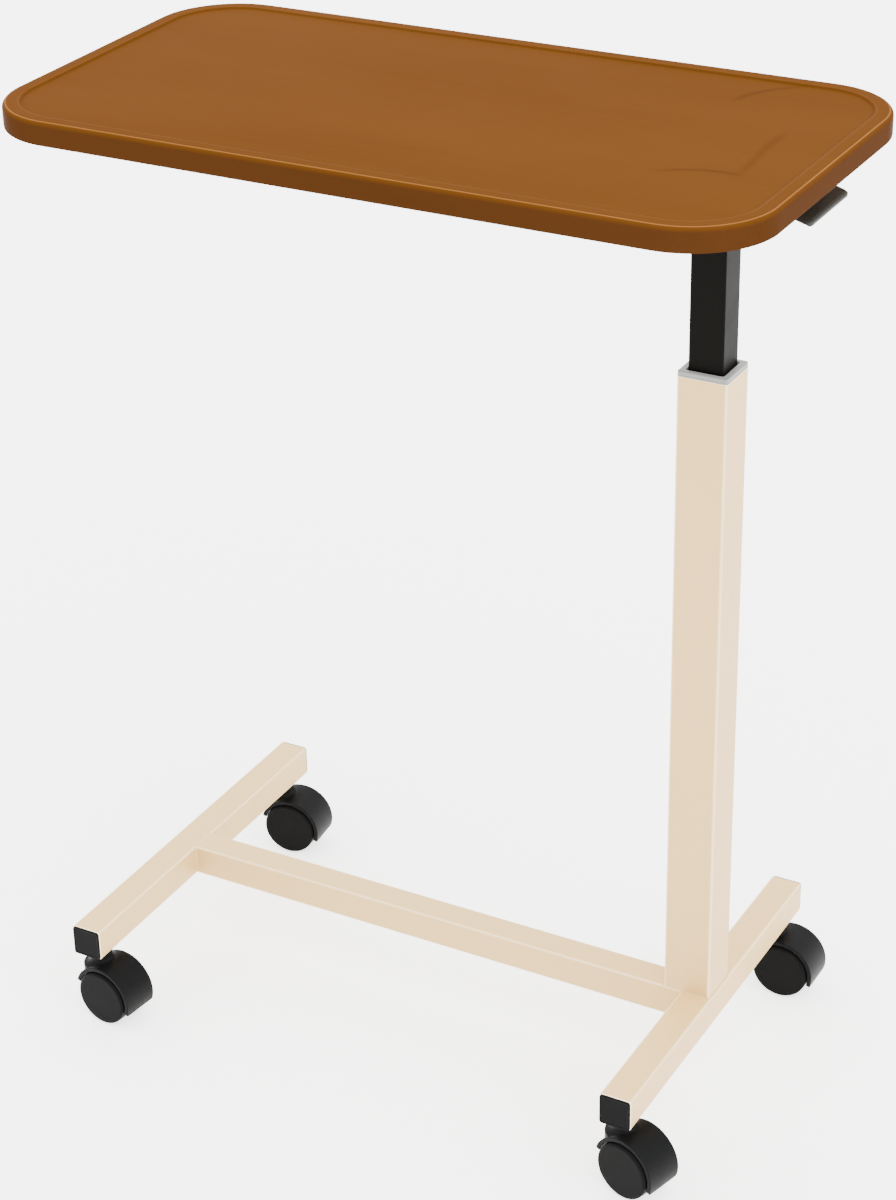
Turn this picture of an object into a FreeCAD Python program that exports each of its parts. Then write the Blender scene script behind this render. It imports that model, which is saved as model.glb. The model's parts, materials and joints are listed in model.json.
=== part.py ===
import FreeCAD, Part
import math
import os
from types import SimpleNamespace

import Sketcher
from FreeCAD import Placement, Rotation, Vector

# Overbed table on four twin-wheel casters, in millimetres.
# The origin is on the floor under the middle of the tabletop. +X points to the end that
# carries the column and the height lever, +Y to the rear and +Z up.

doc = FreeCAD.newDocument("OverbedTable")

DRIVING_DIMENSIONS = {
    # tabletop: fibreboard wrapped in wood-look foil, with a raised rim round a shallow tray
    "top_surface": 990.5,
    "top_length": 762,
    "top_depth": 400,
    "top_thickness": 23,
    "top_corner": 80,
    "top_edge_round": 5,
    "rim_width": 17,
    "rim_height": 2,
    "rim_round": 1.4,
    "foil_thickness": 0.5,
    # floor frame: two floor tubes and a cross tube
    "base_shift": 20.5,
    "base_span": 642,
    "tube_underside": 81,
    "tube_width": 33,
    "tube_height": 34,
    "tube_wall": 2,
    "tube_corner": 2.5,
    "foot_length": 418,
    "cross_width": 32,
    "cross_forward": 8,
    "cap_plate": 2,
    "cap_plug": 12,
    "cap_round": 0.5,
    # column: a fixed outer tube, and an inner tube that slides in it
    "column_offset": 294,
    "column_width": 49.5,
    "column_depth": 48,
    "column_wall": 1.5,
    "column_corner": 3,
    "column_end": 778.5,
    "collar_lip": 5.5,
    "collar_sleeve": 37.5,
    "collar_gap": 0.2,
    "collar_round": 1,
    "mast_width": 34,
    "mast_wall": 1.6,
    "mast_corner": 2,
    "mast_bottom": 400,
    "glide_length": 40,
    "glide_gap": 0.15,
    # locking gas spring and the post that carries it
    "foot_plate": 5,
    "spigot_length": 15,
    "post_radius": 11,
    "post_bore": 8.5,
    "plug_length": 20,
    "stud_radius": 5,
    "stud_length": 15,
    "cylinder_bottom": 440,
    "cylinder_end": 786,
    "cylinder_radius": 13.5,
    "cylinder_bore": 12,
    "cylinder_floor": 6,
    "gland_length": 18,
    "rod_radius": 5,
    "rod_bottom": 598,
    "rod_end": 949,
    "piston_length": 14,
    "running_gap": 0.05,
    "bridge_underside": 930,
    "bridge_height": 12,
    "rod_nut_height": 6,
    "rod_nut_flats": 16,
    "pin_radius": 2,
    "pin_stand": 4.5,
    "pin_length": 63.5,
    "pin_bore_depth": 69,
    # folded channel under the tabletop, its screws and the lever's hinge pin
    "channel_left": -200,
    "channel_right": 322,
    "channel_width": 100,
    "channel_sheet": 2.5,
    "channel_depth": 22.5,
    "screw_hole": 3.2,
    "screw_radius": 3,
    "screw_reach": 11,
    "screw_head_radius": 6,
    "screw_head": 3.5,
    "insert_radius": 5,
    "insert_length": 12,
    "screw_row": 35,
    "screw_first": -185,
    "screw_middle": 30,
    "screw_last": 240,
    "hinge_from_column": 29.5,
    "hinge_below_top": 10,
    "hinge_pin_radius": 3,
    "hinge_pin_head_radius": 5,
    "hinge_pin_head": 2,
    "hinge_pin_tail": 3,
    "clip_thickness": 1.5,
    # height lever
    "lever_width": 90,
    "lever_sheet": 2.5,
    "barrel_radius": 5,
    "plate_below_barrel": 0.4,
    "paddle_end": 378,
    "paddle_drop": 18.5,
    "paddle_bend": 335,
    "paddle_corner": 8,
    "arm_width": 12,
    "arm_past_pin": 5.5,
    "arm_gap": 0.3,
    "arm_height": 3,
    "slot_width": 18,
    "slot_height": 20,
    # casters
    "stem_inset": 185,
    "stem_radius": 5,
    "stem_hole": 5.3,
    "stem_top": 19,
    "stem_flange_radius": 9.5,
    "stem_flange": 5,
    "swivel_pin_radius": 4,
    "swivel_pin_bottom": 43,
    "nut_flats": 17,
    "nut_height": 8,
    "caster_trail": 14,
    "wheel_radius": 30,
    "wheel_face": 23.5,
    "wheel_inner_face": 7.5,
    "wheel_rim": 4.5,
    "wheel_disc": 3,
    "wheel_round": 2.5,
    "wheel_back_round": 0.8,
    "wheel_hub_radius": 6.5,
    "axle_radius": 3,
    "axle_reach": 17,
    "bore_clearance": 1,
    "hood_radius": 35.5,
    "hood_wall": 4.5,
    "hood_width": 42,
    "hood_web": 13,
    "hood_hub_radius": 9,
    "hood_round": 1,
    "hood_rear_degrees": -20,
    "hood_front_degrees": 165,
    "boss_radius": 13,
    "boss_bottom": 45,
    "boss_top": 75.7,
}

# How close two edges have to be to count as being in the same place, and how far a
# cutting shape reaches past the solid that it cuts.
NEAR = 0.01
OVERCUT = 2

# Each caster: its end of the frame, its side, and how far it has swung about its stem.
CASTERS = {
    "front_left": (-1, -1, -6.5),
    "front_right": (1, -1, -15),
    "rear_left": (-1, 1, 6),
    "rear_right": (1, 1, 0),
}


# ---------------------------------------------------------------- sizes bound to the sheet


class Size:
    """A length that is known as a number and as an expression of the sheet's cells."""

    def __init__(self, value, text):
        self.value = float(value)
        self.text = text

    def __add__(self, other):
        other = as_size(other)
        return Size(self.value + other.value, f"({self.text} + {other.text})")

    def __radd__(self, other):
        return as_size(other) + self

    def __neg__(self):
        return Size(-self.value, f"(0 - {self.text})")

    def __sub__(self, other):
        other = as_size(other)
        return Size(self.value - other.value, f"({self.text} - {other.text})")

    def __rsub__(self, other):
        return as_size(other) - self

    def __mul__(self, other):
        other = as_size(other)
        return Size(self.value * other.value, f"({self.text} * {other.text})")

    def __rmul__(self, other):
        return as_size(other) * self

    def __truediv__(self, other):
        other = as_size(other)
        return Size(self.value / other.value, f"({self.text} / {other.text})")


def as_size(item):
    if isinstance(item, Size):
        return item
    return Size(item, f"({float(item)!r})")


def cosine(angle):
    return Size(math.cos(math.radians(angle.value)), f"cos({angle.text} * 1 deg)")


def sine(angle):
    return Size(math.sin(math.radians(angle.value)), f"sin({angle.text} * 1 deg)")


def make_sheet():
    sheet = doc.addObject("Spreadsheet::Sheet", "Dimensions")
    named = {}
    for row, (alias, value) in enumerate(DRIVING_DIMENSIONS.items(), start=1):
        sheet.set(f"A{row}", alias)
        sheet.set(f"B{row}", str(value))
        sheet.setAlias(f"B{row}", alias)
        named[alias] = Size(value, f"Dimensions.{alias}")
    doc.recompute()
    return SimpleNamespace(**named)


d = make_sheet()

column_x = d.column_offset - d.base_shift
tube_center_x = (d.base_span - d.tube_width) / 2
tube_axis_z = d.tube_underside + d.tube_height / 2
tube_top = d.tube_underside + d.tube_height
top_underside = d.top_surface - d.top_thickness
mast_top = top_underside - d.channel_sheet
mast_inside = d.mast_width - 2 * d.mast_wall
column_inside_width = d.column_width - 2 * d.column_wall
column_inside_depth = d.column_depth - 2 * d.column_wall
hinge_x = column_x + d.hinge_from_column
hinge_z = top_underside - d.hinge_below_top

pieces = []


def bind(item, target, size):
    item.setExpression(target, as_size(size).text)


def put(item, x=0, y=0, z=0, rotation=None):
    """Place an item: its coordinates stay bound to the sheet, its turn is fixed."""
    corner = [as_size(part) for part in (x, y, z)]
    turn = rotation or Rotation()
    item.Placement = Placement(Vector(*[part.value for part in corner]), turn)
    for letter, part in zip("xyz", corner):
        bind(item, f"Placement.Base.{letter}", part)
    return item


def keep(item, name):
    """Name a finished sub-part and list it for export."""
    item.Label = name
    pieces.append(item)
    return item


# ---------------------------------------------------------------- sketch and body helpers


def new_body(name):
    return doc.addObject("PartDesign::Body", f"{name}_body")


def new_sketch(body, role, lift=0):
    plane = next(item for item in body.Origin.OriginFeatures if item.Role == role)
    sketch = body.newObject("Sketcher::SketchObject", f"{body.Name}_sketch")
    sketch.AttachmentSupport = [(plane, "")]
    sketch.MapMode = "FlatFace"
    bind(sketch, "AttachmentOffset.Base.z", lift)
    return sketch


def pin_point(sketch, item, corner, x, y):
    """Hold one point of a sketch at a place that the sheet sets."""
    for kind, axis, size in (("DistanceX", -2, as_size(x)), ("DistanceY", -1, as_size(y))):
        if size.value == 0:
            sketch.addConstraint(Sketcher.Constraint("PointOnObject", item, corner, axis))
            continue
        rule = Sketcher.Constraint(kind, -1, 1, item, corner, size.value)
        bind(sketch, f"Constraints[{sketch.addConstraint(rule)}]", size)


def outline(sketch, points):
    """Closed polygon through the given corners."""
    places = [Vector(as_size(x).value, as_size(y).value, 0) for x, y in points]
    count = len(places)
    lines = []
    for index, place in enumerate(places):
        lines.append(sketch.addGeometry(Part.LineSegment(place, places[(index + 1) % count])))
    for index, line in enumerate(lines):
        following = lines[(index + 1) % count]
        sketch.addConstraint(Sketcher.Constraint("Coincident", line, 2, following, 1))
    for line, (x, y) in zip(lines, points):
        pin_point(sketch, line, 1, x, y)


def circle(sketch, x, y, radius):
    middle = Vector(as_size(x).value, as_size(y).value, 0)
    ring = sketch.addGeometry(Part.Circle(middle, Vector(0, 0, 1), radius.value))
    pin_point(sketch, ring, 3, x, y)
    rule = sketch.addConstraint(Sketcher.Constraint("Radius", ring, radius.value))
    bind(sketch, f"Constraints[{rule}]", radius)


def rounded_rectangle(sketch, width, depth, radius):
    """Rectangle with round corners, centred on the sketch's origin."""
    half_w, half_d, r = width.value / 2, depth.value / 2, radius.value
    lines, arcs = [], []
    for quarter in range(4):
        across, along = (half_w, half_d) if quarter % 2 == 0 else (half_d, half_w)
        turn = Rotation(Vector(0, 0, 1), 90 * quarter)
        start = turn.multVec(Vector(r - across, -along, 0))
        end = turn.multVec(Vector(across - r, -along, 0))
        lines.append(sketch.addGeometry(Part.LineSegment(start, end)))
        middle = turn.multVec(Vector(across - r, r - along, 0))
        round_off = Part.Circle(middle, Vector(0, 0, 1), r)
        first = math.radians(90 * quarter - 90)
        arc = Part.ArcOfCircle(round_off, first, first + math.pi / 2)
        arcs.append(sketch.addGeometry(arc))
    for quarter in range(4):
        following = lines[(quarter + 1) % 4]
        sketch.addConstraint(Sketcher.Constraint("Tangent", lines[quarter], 2, arcs[quarter], 1))
        sketch.addConstraint(Sketcher.Constraint("Tangent", arcs[quarter], 2, following, 1))
    for line in (lines[0], lines[2]):
        sketch.addConstraint(Sketcher.Constraint("Horizontal", line))
    for line in (lines[1], lines[3]):
        sketch.addConstraint(Sketcher.Constraint("Vertical", line))
    for arc in arcs[1:]:
        sketch.addConstraint(Sketcher.Constraint("Equal", arcs[0], arc))
    sketch.addConstraint(Sketcher.Constraint("Symmetric", arcs[0], 3, arcs[2], 3, -1, 1))
    sizes = (
        (Sketcher.Constraint("Radius", arcs[0], r), radius),
        (Sketcher.Constraint("DistanceX", lines[3], 1, lines[1], 1, 2 * half_w), width),
        (Sketcher.Constraint("DistanceY", lines[0], 1, lines[2], 1, 2 * half_d), depth),
    )
    for rule, size in sizes:
        bind(sketch, f"Constraints[{sketch.addConstraint(rule)}]", size)


def pad(body, sketch, length, symmetric=False):
    feature = body.newObject("PartDesign::Pad", f"{body.Name}_pad")
    feature.Profile = sketch
    feature.SideType = "Symmetric" if symmetric else "One side"
    bind(feature, "Length", length)
    doc.recompute()
    return feature


def pocket(body, sketch, length=None, symmetric=False, upward=False):
    """Cut a sketch out of the body: to a depth, or all the way when no depth is given."""
    before = body.Shape.Volume
    feature = body.newObject("PartDesign::Pocket", f"{body.Name}_pocket")
    feature.Profile = sketch
    feature.SideType = "Symmetric" if symmetric else "One side"
    feature.Reversed = upward
    if length is None:
        feature.Type = "ThroughAll"
    else:
        bind(feature, "Length", length)
    doc.recompute()
    if body.Shape.Volume >= before - 1e-6:
        raise RuntimeError(f"{feature.Name} cuts nothing")
    return feature


def revolve(body, sketch):
    feature = body.newObject("PartDesign::Revolution", f"{body.Name}_turned")
    feature.Profile = sketch
    feature.ReferenceAxis = (sketch, ["V_Axis"])
    feature.Angle = 360
    doc.recompute()
    return feature


def round_edges(body, radius, wanted):
    """Fillet every edge of the body's last feature for which wanted(edge) is true."""
    last = body.Tip
    names = [f"Edge{i}" for i, edge in enumerate(last.Shape.Edges, start=1) if wanted(edge)]
    feature = body.newObject("PartDesign::Fillet", f"{body.Name}_round")
    feature.Base = (last, names)
    bind(feature, "Radius", radius)
    doc.recompute()
    return feature


def cylinder(name, radius, height):
    item = doc.addObject("Part::Cylinder", name)
    bind(item, "Radius", radius)
    bind(item, "Height", height)
    return item


def block(name, width, depth, height):
    """Box centred on the Z axis, standing on its base."""
    item = doc.addObject("Part::Box", name)
    bind(item, "Length", width)
    bind(item, "Width", depth)
    bind(item, "Height", height)
    put(item, -as_size(width) / 2, -as_size(depth) / 2, 0)
    return item


def cut(name, base, tool):
    item = doc.addObject("Part::Cut", name)
    item.Base = base
    item.Tool = tool
    return item


def fuse(name, *parts):
    item = doc.addObject("Part::MultiFuse", name)
    item.Shapes = list(parts)
    return item


def ring(name, outer, inner, height):
    return cut(name, cylinder(f"{name}_out", outer, height), cylinder(f"{name}_bore", inner, height))


def hexagon(name, flats, height):
    item = doc.addObject("Part::Prism", name)
    item.Polygon = 6
    bind(item, "Circumradius", flats / math.sqrt(3))
    bind(item, "Height", height)
    return item


def nut(name, flats, bore, height):
    return cut(name, hexagon(f"{name}_hex", flats, height), cylinder(f"{name}_bore", bore, height))


def group(name, items):
    item = doc.addObject("Part::Compound", name)
    item.Links = items
    return item


def hollow_tube(body, role, width, depth, corner, wall, length, symmetric):
    """Rectangular tube along the normal of one of the body's planes."""
    outside = new_sketch(body, role)
    rounded_rectangle(outside, width, depth, corner)
    pad(body, outside, length, symmetric)
    inside = new_sketch(body, role)
    rounded_rectangle(inside, width - 2 * wall, depth - 2 * wall, corner - wall / 2)
    pocket(body, inside, length, symmetric, upward=not symmetric)


# ---------------------------------------------------------------- floor frame


def floor_tube(name, side):
    body = new_body(name)
    hollow_tube(body, "XZ_Plane", d.tube_width, d.tube_height, d.tube_corner, d.tube_wall,
                d.foot_length, symmetric=True)
    stem_holes = new_sketch(body, "XY_Plane")
    for end in (-1, 1):
        circle(stem_holes, 0, end * d.stem_inset, d.stem_hole)
    pocket(body, stem_holes, d.tube_height)
    put(body, side * tube_center_x - d.base_shift, 0, tube_axis_z)
    keep(body, name)


def cross_tube():
    body = new_body("cross_tube")
    length = d.base_span - 2 * d.tube_width
    hollow_tube(body, "YZ_Plane", d.cross_width, d.tube_height, d.tube_corner, d.tube_wall,
                length, symmetric=True)
    put(body, -d.base_shift, -d.cross_forward, tube_axis_z)
    keep(body, "cross_tube")


def end_cap(name, side, end):
    """Plastic plate over the end of a floor tube, with a plug pressed into the tube."""
    body = new_body(name)
    plate = new_sketch(body, "XY_Plane")
    rounded_rectangle(plate, d.tube_width, d.tube_height, d.tube_corner)
    pad(body, plate, d.cap_plate)
    round_edges(body, d.cap_round, lambda edge: edge.BoundBox.ZMin > d.cap_plate.value - NEAR)
    plug = new_sketch(body, "XY_Plane", -d.cap_plug)
    wall = d.tube_wall
    corner = d.tube_corner - wall / 2
    rounded_rectangle(plug, d.tube_width - 2 * wall, d.tube_height - 2 * wall, corner)
    pad(body, plug, d.cap_plug)
    facing = Rotation(Vector(1, 0, 0), -90 * end)
    place_x = side * tube_center_x - d.base_shift
    put(body, place_x, end * d.foot_length / 2, tube_axis_z, facing)
    keep(body, f"{name}_end_cap")


# ---------------------------------------------------------------- column


def outer_column():
    body = new_body("outer_column")
    hollow_tube(body, "XY_Plane", d.column_width, d.column_depth, d.column_corner, d.column_wall,
                d.column_end - tube_top, symmetric=False)
    put(body, column_x, 0, tube_top)
    keep(body, "outer_column")


def column_collar():
    """Lip on the column's mouth with a guide sleeve pressed inside the tube."""
    body = new_body("column_collar")
    inner_corner = d.column_corner - d.column_wall / 2
    sleeve = new_sketch(body, "XY_Plane", -d.collar_sleeve)
    rounded_rectangle(sleeve, column_inside_width, column_inside_depth, inner_corner)
    pad(body, sleeve, d.collar_sleeve)
    lip = new_sketch(body, "XY_Plane")
    rounded_rectangle(lip, d.column_width, d.column_depth, d.column_corner)
    pad(body, lip, d.collar_lip)
    lip_top = d.collar_lip.value - NEAR
    round_edges(body, d.collar_round, lambda edge: edge.BoundBox.ZMin > lip_top)
    mouth = new_sketch(body, "XY_Plane", -d.collar_sleeve)
    opening = d.mast_width + 2 * d.collar_gap
    rounded_rectangle(mouth, opening, opening, d.mast_corner)
    pocket(body, mouth, upward=True)
    put(body, column_x, 0, d.column_end)
    keep(body, "column_collar")


def inner_column():
    """Sliding tube, with a slot in its outer wall for the lever's arm."""
    body = new_body("inner_column")
    length = mast_top - d.mast_bottom
    hollow_tube(body, "XY_Plane", d.mast_width, d.mast_width, d.mast_corner, d.mast_wall,
                length, symmetric=False)
    slot = new_sketch(body, "YZ_Plane")
    low = length - d.slot_height
    half = d.slot_width / 2
    outline(slot, [(-half, low), (half, low), (half, length), (-half, length)])
    pocket(body, slot, d.mast_width, upward=True)
    put(body, column_x, 0, d.mast_bottom)
    keep(body, "inner_column")


def lower_glide():
    """Nylon block round the foot of the inner tube, sliding on the outer tube's walls."""
    body = new_body("lower_glide")
    outside = new_sketch(body, "XY_Plane")
    gap = 2 * d.glide_gap
    inner_corner = d.column_corner - d.column_wall / 2
    rounded_rectangle(outside, column_inside_width - gap, column_inside_depth - gap, inner_corner)
    pad(body, outside, d.glide_length)
    inside = new_sketch(body, "XY_Plane")
    rounded_rectangle(inside, d.mast_width, d.mast_width, d.mast_corner)
    pocket(body, inside, upward=True)
    put(body, column_x, 0, d.mast_bottom)
    keep(body, "lower_glide")


# ---------------------------------------------------------------- gas spring


def column_foot():
    plate = block("foot_plate_block", column_inside_width, column_inside_depth, d.foot_plate)
    corners = doc.addObject("Part::Fillet", "foot_plate_round")
    corners.Base = plate
    doc.recompute()
    radius = (d.column_corner - d.column_wall / 2).value
    upright = [
        (number, radius, radius)
        for number, edge in enumerate(plate.Shape.Edges, start=1)
        if edge.BoundBox.ZLength > edge.BoundBox.DiagonalLength - NEAR
    ]
    corners.Edges = upright
    spigot = cylinder("foot_spigot", d.post_bore, d.foot_plate + d.spigot_length)
    keep(put(fuse("column_foot_solid", corners, spigot), column_x, 0, tube_top), "column_foot")


def spring_post():
    bottom = tube_top + d.foot_plate
    length = d.cylinder_bottom - bottom
    post = ring("spring_post_tube", d.post_radius, d.post_bore, length)
    keep(put(post, column_x, 0, bottom), "spring_post")
    plug = ring("post_plug_ring", d.post_bore, d.stud_radius, d.plug_length)
    keep(put(plug, column_x, 0, d.cylinder_bottom - d.plug_length), "post_plug")


def gas_cylinder():
    body = new_body("gas_cylinder")
    sketch = new_sketch(body, "XZ_Plane")
    length = d.cylinder_end - d.cylinder_bottom
    outline(sketch, [
        (0, -d.stud_length), (d.stud_radius, -d.stud_length), (d.stud_radius, 0),
        (d.cylinder_radius, 0), (d.cylinder_radius, length), (d.cylinder_bore, length),
        (d.cylinder_bore, d.cylinder_floor), (0, d.cylinder_floor),
    ])
    revolve(body, sketch)
    put(body, column_x, 0, d.cylinder_bottom)
    keep(body, "gas_cylinder")


def cylinder_gland():
    gland = ring("gland_ring", d.cylinder_bore, d.rod_radius + d.running_gap, d.gland_length)
    keep(put(gland, column_x, 0, d.cylinder_end - d.gland_length), "cylinder_gland")


def piston_rod():
    """Rod with a blind bore down its axis for the release pin."""
    length = d.rod_end - d.rod_bottom
    bore = cylinder("rod_bore", d.pin_radius + d.running_gap, d.pin_bore_depth)
    put(bore, 0, 0, length - d.pin_bore_depth)
    rod = cut("piston_rod_solid", cylinder("rod_bar", d.rod_radius, length), bore)
    keep(put(rod, column_x, 0, d.rod_bottom), "piston_rod")
    head = ring("piston_ring", d.cylinder_bore - d.running_gap, d.rod_radius, d.piston_length)
    keep(put(head, column_x, 0, d.rod_bottom), "piston")


def spring_bridge():
    """Block welded inside the inner tube, which the rod's end is bolted to."""
    body = new_body("spring_bridge")
    outside = new_sketch(body, "XY_Plane")
    corner = d.mast_corner - d.mast_wall / 2
    rounded_rectangle(outside, mast_inside, mast_inside, corner)
    circle(outside, 0, 0, d.rod_radius)
    pad(body, outside, d.bridge_height)
    put(body, column_x, 0, d.bridge_underside)
    keep(body, "spring_bridge")
    rod_nut = nut("rod_nut_solid", d.rod_nut_flats, d.rod_radius, d.rod_nut_height)
    keep(put(rod_nut, column_x, 0, d.bridge_underside + d.bridge_height), "rod_nut")


def release_pin():
    pin = cylinder("release_pin_bar", d.pin_radius, d.pin_length)
    keep(put(pin, column_x, 0, d.rod_end + d.pin_stand - d.pin_length), "release_pin")


# ---------------------------------------------------------------- tabletop


def tray_blank(name, inset):
    """Slab with a raised rim; the inset shrinks its outside and deepens its tray."""
    body = new_body(name)
    inset = as_size(inset)
    height = d.top_thickness - inset
    slab = new_sketch(body, "XY_Plane")
    length, depth = d.top_length - 2 * inset, d.top_depth - 2 * inset
    rounded_rectangle(slab, length, depth, d.top_corner - inset)
    pad(body, slab, height)
    top = height.value - NEAR
    round_edges(body, d.top_edge_round - inset, lambda edge: edge.BoundBox.ZMin > top)
    rim = d.rim_width - inset
    tray = new_sketch(body, "XY_Plane", d.top_thickness - d.rim_height - inset)
    tray_length, tray_depth = d.top_length - 2 * rim, d.top_depth - 2 * rim
    rounded_rectangle(tray, tray_length, tray_depth, d.top_corner - rim)
    pocket(body, tray, upward=True)
    reach = tray_length.value / 2 + NEAR
    round_edges(
        body, d.rim_round,
        lambda edge: edge.BoundBox.ZMin > top and edge.BoundBox.XMax < reach,
    )
    return body


def tabletop():
    board = tray_blank("tabletop_board", d.foil_thickness)
    sockets = new_sketch(board, "XY_Plane")
    for x, y in screw_places():
        circle(sockets, x, y, d.insert_radius)
    pocket(board, sockets, d.insert_length, upward=True)
    put(board, 0, 0, top_underside)
    keep(board, "tabletop_board")
    core = tray_blank("tabletop_core", d.foil_thickness)
    foil = cut("tabletop_foil_shell", tray_blank("tabletop_blank", 0), core)
    keep(put(foil, 0, 0, top_underside), "tabletop_foil")


def screw_places():
    rows = (-d.screw_row, d.screw_row)
    return [(x, y) for x in (d.screw_first, d.screw_middle, d.screw_last) for y in rows]


def tabletop_fixings():
    screws, inserts = [], []
    for number, (x, y) in enumerate(screw_places(), start=1):
        shank = cylinder(f"screw_{number}_shank", d.screw_radius,
                         d.screw_head + d.channel_sheet + d.screw_reach)
        head = cylinder(f"screw_{number}_head", d.screw_head_radius, d.screw_head)
        screw = fuse(f"screw_{number}", shank, head)
        screws.append(put(screw, x, y, mast_top - d.screw_head))
        insert = ring(f"insert_{number}", d.insert_radius, d.screw_radius, d.insert_length)
        inserts.append(put(insert, x, y, top_underside))
    keep(group("screw_group", screws), "mounting_screws")
    keep(group("insert_group", inserts), "threaded_inserts")


def top_channel():
    """Folded steel channel, open downwards, welded to the inner tube's head."""
    body = new_body("top_channel")
    profile = new_sketch(body, "YZ_Plane")
    half, sheet, depth = d.channel_width / 2, d.channel_sheet, d.channel_depth
    outline(profile, [
        (-half, -depth), (sheet - half, -depth), (sheet - half, -sheet),
        (half - sheet, -sheet), (half - sheet, -depth), (half, -depth), (half, 0), (-half, 0),
    ])
    pad(body, profile, d.channel_right - d.channel_left)
    holes = new_sketch(body, "XY_Plane")
    for x, y in screw_places():
        circle(holes, x - d.channel_left, y, d.screw_hole)
    pocket(body, holes)
    hinge_hole = new_sketch(body, "XZ_Plane")
    circle(hinge_hole, hinge_x - d.channel_left, -d.hinge_below_top, d.hinge_pin_radius)
    pocket(body, hinge_hole, d.channel_width + OVERCUT, symmetric=True)
    put(body, d.channel_left, 0, top_underside)
    keep(body, "top_channel")


def hinge_pin():
    along_y = Rotation(Vector(1, 0, 0), -90)
    length = d.channel_width + d.hinge_pin_tail
    head = cylinder("hinge_pin_head_disc", d.hinge_pin_head_radius, d.hinge_pin_head)
    put(head, 0, 0, -d.hinge_pin_head)
    bar = cylinder("hinge_pin_bar", d.hinge_pin_radius, length)
    pin = fuse("hinge_pin_solid", bar, head)
    keep(put(pin, hinge_x, -d.channel_width / 2, hinge_z, along_y), "hinge_pin")
    clip = ring("hinge_clip_ring", d.hinge_pin_head_radius, d.hinge_pin_radius, d.clip_thickness)
    keep(put(clip, hinge_x, d.channel_width / 2, hinge_z, along_y), "hinge_clip")


# ---------------------------------------------------------------- height lever


def release_lever():
    """Pressed plate with a rolled barrel on the hinge pin.

    The paddle reaches out to the end of the tabletop. A narrow arm reaches back through
    the inner tube's slot and ends over the gas spring's release pin.
    """
    body = new_body("release_lever")
    sheet = d.lever_sheet
    crest = d.barrel_radius - d.plate_below_barrel
    bend = d.paddle_bend - hinge_x
    end = d.paddle_end - hinge_x
    end_top = d.hinge_below_top - d.paddle_drop
    plate = new_sketch(body, "XZ_Plane")
    outline(plate, [
        (0, crest - sheet), (bend, crest - sheet), (end, end_top - sheet), (end, end_top),
        (bend, crest), (0, crest),
    ])
    pad(body, plate, d.lever_width, symmetric=True)
    reach = end.value - NEAR
    round_edges(
        body, d.paddle_corner,
        lambda edge: edge.BoundBox.XMin > reach and edge.BoundBox.YLength < NEAR,
    )
    barrel = new_sketch(body, "XZ_Plane")
    circle(barrel, 0, 0, d.barrel_radius)
    pad(body, barrel, d.lever_width, symmetric=True)
    arm = new_sketch(body, "XZ_Plane")
    tip = -d.hinge_from_column - d.arm_past_pin
    arm_low = d.rod_end + d.pin_stand + d.arm_gap - hinge_z
    outline(arm, [(tip, arm_low), (0, arm_low), (0, arm_low + d.arm_height),
                  (tip, arm_low + d.arm_height)])
    pad(body, arm, d.arm_width, symmetric=True)
    bore = new_sketch(body, "XZ_Plane")
    circle(bore, 0, 0, d.hinge_pin_radius + d.running_gap)
    pocket(body, bore, d.lever_width + OVERCUT, symmetric=True)
    put(body, hinge_x, 0, hinge_z)
    keep(body, "release_lever")


# ---------------------------------------------------------------- casters


def caster_hood(name):
    """Moulded body: a hood over both wheels, a web between them and a swivel boss."""
    body = new_body(f"{name}_hood")
    rear, front = d.hood_rear_degrees, d.hood_front_degrees
    cover = new_sketch(body, "XZ_Plane")
    sector(cover, d.hood_radius, rear, front)
    pad(body, cover, d.hood_width, symmetric=True)
    outer = d.hood_radius.value
    half = d.hood_width.value / 2 - NEAR
    round_edges(
        body, d.hood_round,
        lambda edge: abs(edge.BoundBox.Center.y) > half and edge.BoundBox.ZLength > outer,
    )
    boss = new_sketch(body, "XY_Plane", d.boss_bottom)
    circle(boss, 0, 0, d.boss_radius)
    pad(body, boss, d.boss_top - d.boss_bottom)
    wheel_well = new_sketch(body, "XZ_Plane")
    circle(wheel_well, d.caster_trail, d.wheel_radius, d.hood_radius - d.hood_wall)
    pocket(body, wheel_well, 2 * d.hood_width, symmetric=True)
    web = new_sketch(body, "XZ_Plane")
    sector(web, d.hood_radius - d.hood_wall / 2, rear, front)
    pad(body, web, d.hood_web, symmetric=True)
    hub = new_sketch(body, "XZ_Plane")
    circle(hub, d.caster_trail, d.wheel_radius, d.hood_hub_radius)
    pad(body, hub, d.hood_web, symmetric=True)
    stem_bore = new_sketch(body, "XY_Plane", d.swivel_pin_bottom - d.bore_clearance)
    circle(stem_bore, 0, 0, d.swivel_pin_radius + d.running_gap)
    pocket(body, stem_bore, upward=True)
    axle_bore = new_sketch(body, "XZ_Plane")
    circle(axle_bore, d.caster_trail, d.wheel_radius, d.axle_radius)
    pocket(body, axle_bore, 2 * d.hood_web, symmetric=True)
    return body


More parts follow.
